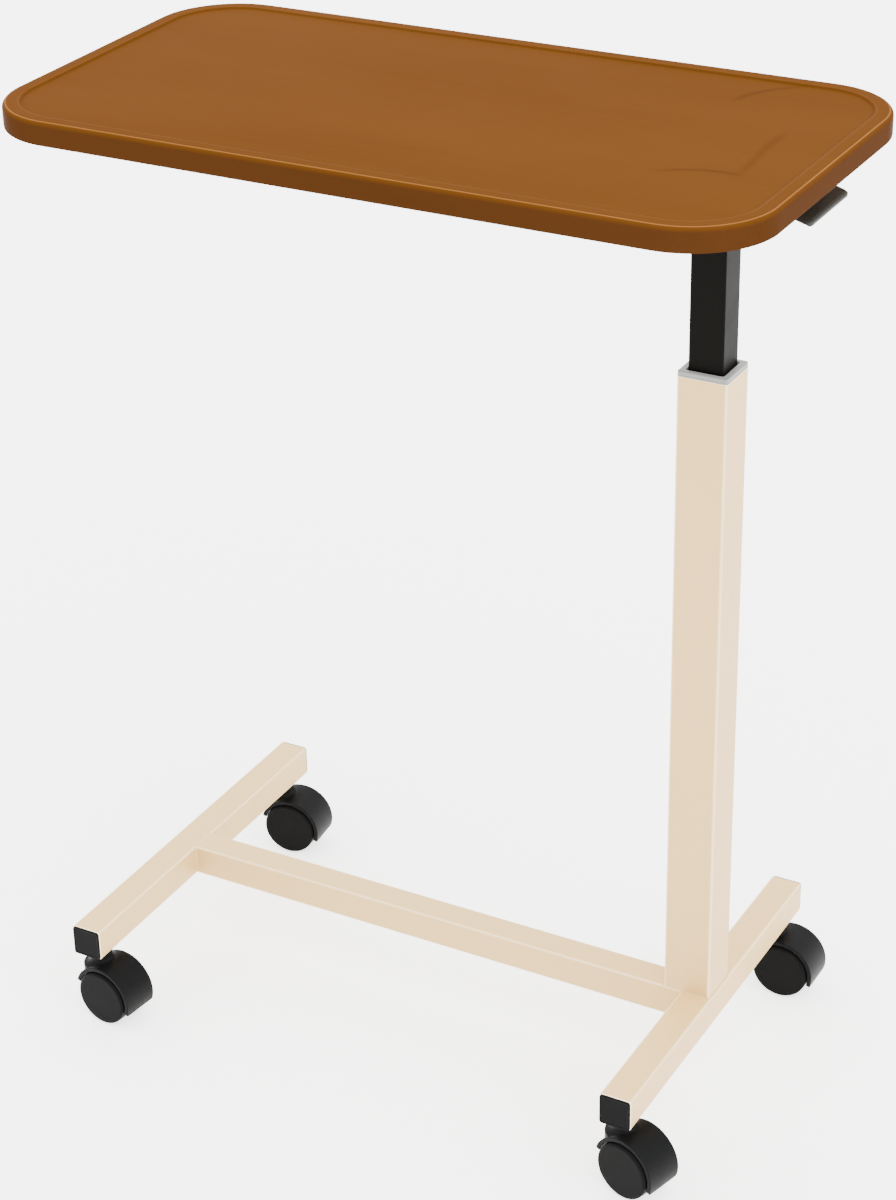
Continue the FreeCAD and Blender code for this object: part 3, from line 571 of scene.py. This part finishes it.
def rounded_profile(points, bends=5):
    """Profile through (radius, height, round) corners, each rounded by its own radius."""
    result = []
    for index, (x, y, turn) in enumerate(points):
        here = Vector((x, y))
        if turn <= 0 or index in (0, len(points) - 1):
            result.append((x, y))
            continue
        before = Vector(points[index - 1][:2]) - here
        after = Vector(points[index + 1][:2]) - here
        half_angle = before.angle(after) / 2
        reach = turn / math.tan(half_angle)
        middle = here + (before.normalized() + after.normalized()).normalized() * (
            turn / math.sin(half_angle))
        start = here + before.normalized() * reach - middle
        end = here + after.normalized() * reach - middle
        sweep = start.angle_signed(end)
        for bend in range(bends + 1):
            turned = Vector(start)
            turned.rotate(Matrix.Rotation(-sweep * bend / bends, 2))
            result.append(tuple(middle + turned))
    return result


def join_solids(name, pieces, operation="UNION"):
    """One closed solid from several, by exact boolean."""
    base = pieces[0]
    for other in pieces[1:]:
        joiner = base.modifiers.new("join", "BOOLEAN")
        joiner.operation = operation
        joiner.solver = "EXACT"
        joiner.object = other
    bpy.context.view_layer.update()
    graph = bpy.context.evaluated_depsgraph_get()
    mesh = bpy.data.meshes.new_from_object(base.evaluated_get(graph))
    for item in pieces:
        bpy.data.objects.remove(item)
    return finish_mesh(mesh, name, 28.0)


def settle(piece, body, slot, *nodes):
    """Paints a finished piece, fixes it to its body and lets it stand for its CAD nodes."""
    piece.data.materials.clear()
    piece.data.materials.append(MATERIALS[slot])
    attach(piece, body)
    if nodes:
        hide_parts(*nodes)
    return piece


def middle_of(node):
    """Centre and half size of a CAD node's box."""
    low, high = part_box(node)
    return (low + high) / 2, (high - low) / 2


# ---------------------------------------------------------------- floor frame


# Floor tubes: corner radius, wall and rounding at the open ends. Then the two sizes of weld.
TUBE_CORNER = 2.8 * MM
TUBE_WALL = 2.0 * MM
TUBE_END = 1.2 * MM
WELD = 1.7 * MM
NARROW_WELD = 1.1 * MM


def weld(name, start, end, first, second, size=WELD):
    """Painted bead with a hollow face, filling the corner between two walls."""
    start, end = Vector(start), Vector(end)
    first, second = Vector(first), Vector(second)
    sunk = 0.4 * MM
    bends = 5
    section = [-sunk * (first + second), size * first - sunk * second]
    for bend in range(bends + 1):
        angle = math.radians(90) * bend / bends
        hollow = size * (first * (1 - math.sin(angle)) + second * (1 - math.cos(angle)))
        section.append(hollow)
    section.append(size * second - sunk * first)
    piece = skin(name, [[place + point for point in section] for place in (start, end)])
    return settle(piece, "base", "cream_steel")


def floor_frame():
    """Two open floor tubes and the cross tube between them, with welds down its corners."""
    for node in ("left_floor_tube", "right_floor_tube"):
        centre, half = middle_of(node)
        piece = tube(f"{node}_paint", half.z, half.x, TUBE_CORNER, TUBE_WALL, -half.y, half.y,
                     "y", centre, edge=TUBE_END)
        settle(piece, "base", "cream_steel", node)
    centre, half = middle_of("cross_tube")
    piece = tube("cross_tube_paint", half.y, half.z, TUBE_CORNER, TUBE_WALL, -half.x, half.x,
                 "x", centre, edge=0.0)
    settle(piece, "base", "cream_steel", "cross_tube")
    low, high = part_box("cross_tube")
    inset = 2.2 * MM
    for side, x, inward in (("left", low.x, 1), ("right", high.x, -1)):
        for end, y, outward in (("front", low.y, -1), ("rear", high.y, 1)):
            weld(f"{side}_{end}_joint_weld", (x, y, low.z + inset), (x, y, high.z - inset),
                 (inward, 0, 0), (0, outward, 0))


# From the cap's face to its plug's end: distance behind the face, inset and corner radius, in mm.
CAP_ROWS = (
    (0.45, 3.2, 1.6), (0.40, 2.5, 1.9), (0.05, 1.9, 2.2), (0.0, 1.5, 2.4), (0.25, 0.85, 2.8),
    (0.8, 0.5, 3.1), (2.0, 0.45, 3.1), (2.0, 2.2, 1.9), (13.4, 2.3, 1.8), (14.0, 2.9, 1.4),
)


def end_caps():
    """Moulded plates with a rounded rim, a shallow face and a plug inside the tube."""
    for end, facing in (("front", -1), ("rear", 1)):
        for side in ("left", "right"):
            node = f"{end}_{side}_end_cap"
            centre, half = middle_of(node)
            rings = []
            for back, inset, corner in CAP_ROWS:
                along = centre.y + facing * (half.y - back * MM)
                outline = rounded_outline(half.x - inset * MM, half.z - inset * MM, corner * MM, 6)
                rings.append([(centre.x + a, along, centre.z + b) for a, b in outline])
            settle(even_shading(skin(f"{node}_moulding", rings)), "base", "black_plastic", node)


# ---------------------------------------------------------------- column


# Corner radius and wall of the two column tubes.
COLUMN_CORNER = 3.2 * MM
COLUMN_WALL = 1.5 * MM
MAST_CORNER = 2.2 * MM
MAST_WALL = 1.6 * MM

# Height of the collar above the outer tube's mouth, in mm.
COLLAR_LIP = 5.5

# The lever's slot at the top of the inner tube: half width, half height, and centre below the top.
SLOT_HALF_WIDTH = 9.0 * MM
SLOT_HALF_HEIGHT = 10.5 * MM
SLOT_DROP = 10.0 * MM


def ring_stack(name, centre, rows, steps=6):
    """Loop of rounded rectangles along Z from rows of (half x, half y, corner, height), in mm."""
    rings = []
    for half_x, half_y, corner, height in rows:
        outline = rounded_outline(half_x * MM, half_y * MM, corner * MM, steps)
        rings.append([(centre.x + x, centre.y + y, height * MM) for x, y in outline])
    return even_shading(skin(name, rings, loop=True))


def column():
    """Fixed outer tube and the welds round its foot."""
    centre, half = middle_of("outer_column")
    piece = tube("outer_column_paint", half.x, half.y, COLUMN_CORNER, COLUMN_WALL,
                 -half.z, half.z, "z", centre)
    settle(piece, "base", "cream_steel", "outer_column")
    low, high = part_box("outer_column")
    floor_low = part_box("right_floor_tube")[0]
    cross_low, cross_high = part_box("cross_tube")
    inset = 3.0 * MM
    up = (0, 0, 1)
    for end, y, outward in (("front", low.y, -1), ("rear", high.y, 1)):
        weld(f"column_{end}_weld", (floor_low.x + inset, y, low.z), (high.x - inset, y, low.z),
             (0, outward, 0), up)
    weld("column_left_weld", (low.x, cross_low.y + inset, low.z),
         (low.x, cross_high.y - inset, low.z), (-1, 0, 0), up)
    weld("column_right_weld", (high.x, low.y + inset, low.z), (high.x, high.y - inset, low.z),
         (1, 0, 0), up, NARROW_WELD)


def collar():
    """Nylon guide: a bevelled lip on the tube's mouth and a sleeve down inside it."""
    low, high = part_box("column_collar")
    centre = (low + high) / 2
    half_x, half_y = (high.x - low.x) / 2 / MM, (high.y - low.y) / 2 / MM
    top, bottom = high.z / MM, low.z / MM
    lip = top - COLLAR_LIP
    # From under the lip, up its grooved side, over its top, down the bore and up the sleeve.
    rows = [
        (half_x - 1.6, half_y - 1.6, 1.7, lip), (half_x - 0.3, half_y - 0.3, 2.9, lip),
        (half_x - 0.05, half_y - 0.05, 3.1, lip + 0.25), (half_x - 0.05, half_y - 0.05, 3.1, lip + 1.3),
        (half_x - 0.35, half_y - 0.35, 2.8, lip + 1.5), (half_x - 0.35, half_y - 0.35, 2.8, lip + 1.9),
        (half_x - 0.05, half_y - 0.05, 3.1, lip + 2.1), (half_x - 0.05, half_y - 0.05, 3.1, top - 1.15),
        (half_x - 0.25, half_y - 0.25, 2.9, top - 0.6), (half_x - 0.75, half_y - 0.75, 2.6, top - 0.2),
        (half_x - 1.4, half_y - 1.4, 2.3, top), (19.4, 19.4, 2.2, top), (18.7, 18.7, 2.0, top - 0.2),
        (18.4, 18.4, 1.9, top - 0.8), (18.4, 18.4, 1.9, top - 7.0), (17.25, 17.25, 1.6, top - 8.0),
        (17.25, 17.25, 1.6, bottom + 3.0), (17.8, 17.8, 1.7, bottom),
        (half_x - 2.0, half_y - 2.0, 1.7, bottom), (half_x - 1.6, half_y - 1.6, 1.7, bottom + 1.0),
    ]
    moulding = ring_stack("collar_moulding", centre, rows)
    settle(moulding, "base", "grey_plastic", "column_collar")


def mast():
    """Sliding tube with the lever's slot cut in its outer wall."""
    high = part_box("inner_column")[1]
    centre, half = middle_of("inner_column")
    body = tube("inner_column_bar", half.x, half.y, MAST_CORNER, MAST_WALL,
                -half.z, half.z, "z", centre)
    body.modifiers.clear()
    slot_place = Vector((high.x, centre.y, high.z - SLOT_DROP))
    cutter = bar("slot_cutter", SLOT_HALF_WIDTH, SLOT_HALF_HEIGHT, 1.0 * MM, -6.0 * MM, 6.0 * MM,
                 "x", slot_place)
    cutter.modifiers.clear()
    piece = join_solids("inner_column_paint", [body, cutter], "DIFFERENCE")
    settle(even_shading(piece), "upper", "black_steel", "inner_column")


# ---------------------------------------------------------------- tabletop


# The tabletop, in mm: corner radius, depth of the tray, and drop and reach of its rounded edge.
TOP_CORNER = 80.0
TRAY_DEPTH = 2.0
EDGE_DROP = 4.6
EDGE_REACH = 5.4

# Shares of the rounded edge's turn: the crest's painted highlight, its spread, and where the painted
# shade down the side begins.
CREST = 0.26
CREST_SPREAD = 0.11
SIDE_START = 0.45


def top_rings(rows, steps=28):
    """Rounded outlines of the tabletop from rows of (inset, height over its underside), in mm."""
    low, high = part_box("tabletop_foil")
    centre, half = (low + high) / 2, (high - low) / 2
    rings = []
    for inset, height in rows:
        corner = (TOP_CORNER - inset) * MM
        outline = rounded_outline(half.x - inset * MM, half.y - inset * MM, corner, steps)
        rings.append([(centre.x + x, centre.y + y, low.z + height * MM) for x, y in outline])
    return rings


def tabletop():
    """Foil pressed over a board: soft outer edge, flat crest, eased step and flat tray."""
    low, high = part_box("tabletop_foil")
    thick = (high.z - low.z) / MM
    tray = thick - TRAY_DEPTH
    # Each row has the inset, the height over the underside and the edge_tone. Round the tray's step the
    # tone dips below 0.5 as painted shade in the crease and rises to 0.55 at its upper edge as a faint
    # painted highlight.
    rows = [(21.0, tray, 0.5), (19.4, tray, 0.44), (18.3, tray + 0.12, 0.38), (17.6, tray + 0.5, 0.34),
            (17.0, tray + 1.15, 0.40), (16.3, tray + 1.65, 0.5), (15.2, tray + 1.9, 0.55),
            (13.6, thick, 0.5), (7.6, thick, 0.5)]
    bends = 16
    for bend in range(bends + 1):
        share = bend / bends
        angle = math.radians(90) * share
        # Painted highlight peaks at CREST; past SIDE_START the tone falls to 0, painted shade down the
        # side.
        if share < SIDE_START:
            tone = 0.5 + 0.5 * max(1.0 - abs(share - CREST) / CREST_SPREAD, 0.0)
        else:
            tone = 0.5 - 0.5 * (share - SIDE_START) / (1.0 - SIDE_START)
        inset = EDGE_REACH * (1 - math.sin(angle))
        rows.append((inset, thick - EDGE_DROP * (1 - math.cos(angle)), tone))
    # The side and the underside keep edge_tone 0, the deepest painted shade.
    rows += [(inset, height, 0.0) for inset, height in (
        (0.0, 2.2), (0.2, 1.1), (0.8, 0.35), (1.7, 0.0), (3.0, 0.0), (3.0, 0.5), (1.9, 0.5),
        (0.5, 2.2), (0.5, thick - EDGE_DROP), (2.0, thick - 1.6), (6.0, thick - 0.6),
        (14.5, thick - 0.6), (17.6, tray - 0.5))]
    rings = top_rings([row[:2] for row in rows])
    wrap = skin("tabletop_foil_wrap", rings, tones=[row[2] for row in rows])
    settle(even_shading(wrap), "upper", "wood_foil", "tabletop_foil")
    board_rows = [(3.2, 0.0), (3.2, 0.7), (0.8, 2.4), (0.8, thick - 6.0), (7.0, tray - 0.8)]
    board = skin("tabletop_board_core", top_rings(board_rows))
    settle(even_shading(board), "upper", "fibreboard", "tabletop_board")


def channel():
    """Folded steel channel under the top, with rolled bends along its two flanges."""
    low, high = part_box("top_channel")
    half_y, depth = (high.y - low.y) / 2, high.z - low.z
    sheet, bend, lip = 2.5 * MM, 4.0 * MM, 0.5 * MM
    turns = [math.radians(90) * step / 6 for step in range(7)]
    section = []
    for side in (-1, 1):
        outer, inner = (
            [(side * (half_y - bend + radius * math.cos(turn)), -bend + radius * math.sin(turn))
             for turn in turns]
            for radius in (bend, bend - sheet))
        foot = [(side * (half_y - sheet), -depth + lip), (side * (half_y - sheet + lip), -depth),
                (side * (half_y - lip), -depth), (side * half_y, -depth + lip)]
        leg = list(reversed(inner)) + foot + outer
        section += leg if side > 0 else list(reversed(leg))
    rings = [[(x, y, high.z + z) for y, z in section] for x in (low.x, high.x)]
    settle(even_shading(skin("channel_paint", rings)), "upper", "black_steel", "top_channel")


# Radius of the screws' heads, and where the middle pair stands along X.
SCREW_RADIUS = 6.0 * MM
MIDDLE_SCREW = 30.0 * MM


def fixings():
    """Domed socket-head screws that hold the channel to the board."""
    low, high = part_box("mounting_screws")
    head = lathe("screw_pattern", rounded_profile([
        (0, 0, 0), (4.6, 0, 1.0), (6.0, 1.4, 1.0), (6.0, 3.4, 0.2), (0, 3.4, 0)]), 48)
    socket = lathe("screw_socket", [(0, -1), (2.3, -1), (2.3, 1.9), (0, 2.3)], 6)
    pattern = join_solids("screw_head_pattern", [head, socket], "DIFFERENCE")
    places = (low.x + SCREW_RADIUS, MIDDLE_SCREW, high.x - SCREW_RADIUS)
    for row, x in enumerate(places):
        for end, y in (("front", low.y + SCREW_RADIUS), ("rear", high.y - SCREW_RADIUS)):
            mesh = pattern.data.copy()
            mesh.transform(Matrix.Translation((x, y, low.z)) @ Matrix.Scale(MM, 4))
            screw = bpy.data.objects.new(f"channel_screw_{row + 1}_{end}", mesh)
            bpy.context.scene.collection.objects.link(screw)
            nodes = ("mounting_screws",) if row == 0 and end == "front" else ()
            settle(screw, "upper", "zinc_steel", *nodes)
    bpy.data.objects.remove(pattern)


# ---------------------------------------------------------------- height lever


# The lever's sheet and how far its top stands over the pin. Then where the paddle bends down,
# how far it drops from there to its tip, and the bend's radius.
SHEET = 2.5 * MM
LEVER_RISE = 4.6 * MM
BEND_X = 335.0 * MM
TIP_DROP = 13.1 * MM
BEND_RADIUS = 14.0 * MM

# The paddle's corners, its thick lip, how far before the tip the lip begins, over what length it
# swells, how much narrower than in the CAD the paddle is on each side, and the length of the tip
# that has close stations.
PADDLE_CORNER = 8.0 * MM
LIP_RADIUS = 2.0 * MM
LIP_START = 5.5 * MM
LIP_SWELL = 3.5 * MM
PADDLE_INSET = 0.2 * MM
TIP_LENGTH = 12.0 * MM

# The lever's barrel as (radius, place along the pin), in mm. Then the arm's half width and half
# thickness, and how far its middle lies over the release pin.
BARREL_ROWS = ((5.0, -44.4), (4.4, -45.0), (3.1, -45.0), (3.1, 45.0), (4.4, 45.0), (5.0, 44.4))
ARM_HALF_WIDTH = 6.0 * MM
ARM_HALF_THICK = 1.5 * MM
ARM_RISE = 1.8 * MM


def swept_plate(name, stations, corner, tones=None):
    """Plate through stations of (centre, across, normal, half width, half thickness)."""
    rings = []
    for centre, across, normal, half_width, half_thick in stations:
        outline = rounded_outline(half_width, half_thick, min(corner, half_thick * 0.98), 4)
        rings.append([centre + across * a + normal * b for a, b in outline])
    return even_shading(skin(name, rings, tones=tones))


def eased_end(distance, radius):
    """How far an edge has drawn in at a distance from a rounded end."""
    if distance >= radius:
        return 0.0
    return radius - math.sqrt(max(radius ** 2 - (radius - distance) ** 2, 0.0))


def lever():
    """Paddle with a rolled lip, its barrel on the pin and the arm that presses the release pin."""
    low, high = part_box("release_lever")
    hinge_low, hinge_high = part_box("hinge_pin")
    hinge = Vector(((hinge_low.x + hinge_high.x) / 2, 0.0, (hinge_low.z + hinge_high.z) / 2))
    half_width = (high.y - low.y) / 2
    top = hinge.z + LEVER_RISE
    tip_x = high.x
    slope = math.atan2(TIP_DROP, tip_x - BEND_X)
    reach = BEND_RADIUS * math.tan(slope / 2)
    flat = BEND_X - reach - hinge.x
    arc = BEND_RADIUS * slope
    ramp = (tip_x - BEND_X) / math.cos(slope) - reach
    total = flat + arc + ramp
    places = [0.0, flat] + [flat + arc * k / 8 for k in range(1, 9)]
    run = total - TIP_LENGTH
    places += [flat + arc + (run - flat - arc) * k / 3 for k in range(1, 4)]
    places += [total - TIP_LENGTH * (1 - k / 36) for k in range(1, 36)] + [total - 0.03 * MM]
    stations = []
    tones = []
    for place in places:
        turned = min(max((place - flat) / BEND_RADIUS, 0.0), slope)
        x = hinge.x + min(place, flat) + BEND_RADIUS * math.sin(turned)
        z = top - SHEET / 2 - BEND_RADIUS * (1 - math.cos(turned))
        beyond = max(place - flat - arc, 0.0)
        x += beyond * math.cos(slope)
        z -= beyond * math.sin(slope)
        normal = Vector((math.sin(turned), 0.0, math.cos(turned)))
        left = total - place
        swell = min(max((LIP_START - left) / LIP_SWELL, 0.0), 1.0)
        # The lip's swell also sets edge_tone, which paints a highlight on the lip.
        tones.append(swell)
        thick = SHEET / 2 + (LIP_RADIUS - SHEET / 2) * swell ** 2 * (3 - 2 * swell)
        thick -= eased_end(left, LIP_RADIUS)
        width = half_width - PADDLE_INSET - eased_end(left, PADDLE_CORNER)
        centre = Vector((x, hinge.y, z)) - normal * 0.5 * MM * swell
        stations.append((centre, Vector((0, 1, 0)), normal, width, max(thick, 0.1 * MM)))
    paddle = swept_plate("lever_paddle", stations, 1.1 * MM, tones)
    settle(paddle, "lever", "lever_steel", "release_lever")
    barrel = turned_ring("lever_barrel", BARREL_ROWS, Matrix.Translation(hinge) @ AXES["y"])
    settle(barrel, "lever", "lever_steel")
    arm_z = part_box("release_pin")[1].z + ARM_RISE
    arm = bar("lever_arm", ARM_HALF_WIDTH, ARM_HALF_THICK, 1.2 * MM, low.x - hinge.x, -3.6 * MM,
              "x", Vector((hinge.x, 0.0, arm_z)), edge=1.0 * MM)
    settle(arm, "lever", "lever_steel")


def turned_ring(name, rows, matrix, steps=64):
    """Hollow turned part from a loop of (radius, height) points in mm."""
    rings = []
    for radius, height in rows:
        ring = []
        for step in range(steps):
            angle = 2 * math.pi * step / steps
            point = Vector((radius * math.cos(angle), radius * math.sin(angle), height)) * MM
            ring.append(matrix @ point)
        rings.append(ring)
    return even_shading(skin(name, rings, loop=True))


# ---------------------------------------------------------------- casters


# The caster, in mm and degrees, as in the CAD.
TRAIL = 14.0
WHEEL_RADIUS = 30.0
HOOD_RADIUS = 35.5
HOOD_WALL = 4.5
HOOD_HALF_WIDTH = 21.0
HOOD_ENDS = (-20.0, 165.0)
BOSS_TOP = 75.7


def caster_places():
    """Stem axis and swing of each caster, from the axle's and the stem's boxes."""
    places = {}
    for end in ("front", "rear"):
        for side in ("left", "right"):
            name = f"{end}_{side}"
            stem = middle_of(f"{name}_caster_stem")[0]
            axle = middle_of(f"{name}_caster_axle")[0]
            swing = math.atan2(axle.y - stem.y, axle.x - stem.x)
            foot = Matrix.Translation((stem.x, stem.y, 0.0))
            places[name] = foot @ Matrix.Rotation(swing, 4, "Z")
    return places


def hood_pattern():
    """Moulded hood, web, hub and swivel boss, in mm from the point on the floor under the stem."""
    axle = Vector((TRAIL, 0.0, WHEEL_RADIUS))
    middle_radius = HOOD_RADIUS - HOOD_WALL / 2
    start, end = (math.radians(angle) for angle in HOOD_ENDS)
    length = (end - start) * middle_radius
    corner, edge = 3.6, 0.9
    ease = [corner * (1 - math.cos(math.radians(90) * k / 10)) for k in range(1, 11)]
    places = [0.02, 0.1, 0.3, 0.6] + ease
    places += [corner + (length - 2 * corner) * k / 60 for k in range(1, 60)]
    places += [length - place for place in reversed([0.02, 0.1, 0.3, 0.6] + ease)]
    places = sorted(set(round(place, 4) for place in places))
    stations = []
    for place in places:
        angle = start + place / middle_radius
        normal = Vector((math.cos(angle), 0.0, math.sin(angle)))
        left = min(place, length - place)
        width = HOOD_HALF_WIDTH - eased_end(left, corner)
        thick = HOOD_WALL / 2 - eased_end(left, edge)
        stations.append((axle + normal * middle_radius, Vector((0, 1, 0)), normal, width, thick))
    band = swept_plate("hood_band", stations, edge)
    turns = [start + (end - start) * k / 72 for k in range(73)]
    web_rings = []
    for y, inset in ((-6.5, 0.5), (-6.0, 0.0), (6.0, 0.0), (6.5, 0.5)):
        web_rings.append([
            axle + Vector(((middle_radius - inset) * math.cos(turn), y,
                           (middle_radius - inset) * math.sin(turn)))
            for turn in turns
        ])
    web = skin("hood_web", web_rings)
    across = Matrix.Translation(axle) @ AXES["y"]
    hub_profile = [(0, -6.5), (8.5, -6.5), (9.0, -6.0), (9.0, 6.0), (8.5, 6.5), (0, 6.5)]
    hub = lathe("hood_hub", hub_profile, 64, across)
    flare = quarter_bend(20.0, 71.5, -9.0, -11.0, 8)
    crown = [(11.0, BOSS_TOP - 0.8), (10.7, BOSS_TOP - 0.2), (10.2, BOSS_TOP), (0, BOSS_TOP)]
    boss = lathe("hood_boss", [(0, 45.0), (20.0, 45.0)] + flare + crown, 64)
    well_profile = [(0, -30), (middle_radius, -30), (middle_radius, 30), (0, 30)]
    well = lathe("hood_well", well_profile, 128, across)
    boss = join_solids("hood_boss_cut", [boss, well], "DIFFERENCE")
    for piece in (band, web, hub, boss):
        piece.modifiers.clear()
    return join_solids("hood_pattern", [web, hub, band, boss])


def wheel_pattern():
    """Twin wheel's half: closed face, rounded shoulder, slightly crowned tread, hollow back."""
    shoulder = quarter_bend(27.2, 20.9, 2.6, 2.6, 7)
    profile = [(0, 23.5), (26.2, 23.5)] + shoulder + [
        (29.95, 18.0), (30.0, 14.0), (29.95, 10.5), (29.8, 8.4), (29.5, 7.8), (28.9, 7.5), (25.9, 7.5),
        (25.5, 8.0), (25.5, 19.9), (24.9, 20.5), (7.1, 20.5), (6.5, 19.9), (6.5, 7.9), (6.1, 7.5),
        (3.1, 7.5), (3.1, 18.0), (0, 18.0),
    ]
    return lathe("wheel_pattern", profile, 112)


def stem_pattern():
    """Blackened stem: swivel pin, bevelled flange against the tube and a threaded shank."""
    thread = []
    for turn in range(11):
        height = 83.0 + turn * 1.5
        thread += [(5.0, height), (4.5, height + 0.75)]
    pin = [(0, 43.0), (3.4, 43.0), (4.0, 43.6), (4.0, 76.0)]
    flange = [(8.9, 76.0), (9.5, 76.6), (9.5, 80.7), (9.2, 81.0), (5.0, 81.0)]
    return lathe("stem_pattern", pin + flange + thread + [(0, 99.9)], 72)


def copy_of(pattern, name, matrix):
    """Copy of a pattern drawn in mm, put in its place in metres."""
    mesh = pattern.data.copy()
    mesh.transform(matrix @ Matrix.Scale(MM, 4))
    made = bpy.data.objects.new(name, mesh)
    bpy.context.scene.collection.objects.link(made)
    return even_shading(made)


def casters():
    """The four casters from one pattern each for hood, wheel and stem."""
    hood, wheel, stem = hood_pattern(), wheel_pattern(), stem_pattern()
    for name, frame_matrix in caster_places().items():
        settle(copy_of(stem, f"{name}_stem", frame_matrix), "base", "black_steel",
               f"{name}_caster_stem")
        settle(copy_of(hood, f"{name}_hood", frame_matrix), f"{name}_swivel", "caster_plastic",
               f"{name}_caster_hood")
        for which, facing in (("near", -1), ("far", 1)):
            turn = Matrix.Rotation(math.radians(-90 * facing), 4, "X")
            place = frame_matrix @ Matrix.Translation((TRAIL * MM, 0.0, WHEEL_RADIUS * MM)) @ turn
            settle(copy_of(wheel, f"{name}_{which}_wheel", place), f"{name}_{which}_roller",
                   "wheel_plastic", f"{name}_caster_{which}_wheel")
    for pattern in (hood, wheel, stem):
        bpy.data.objects.remove(pattern)


def main():
    """Paints the CAD nodes, then builds the detailed pieces that stand for them."""
    add_camera()
    add_studio()
    for name, node in frame["nodes"].items():
        slot = next(s["material_slot"] for s in frame["record"]["subparts"] if s["node"] == name)
        node.data.materials.clear()
        node.data.materials.append(MATERIALS[slot])
    floor_frame()
    end_caps()
    column()
    collar()
    mast()
    tabletop()
    channel()
    fixings()
    lever()
    casters()


main()
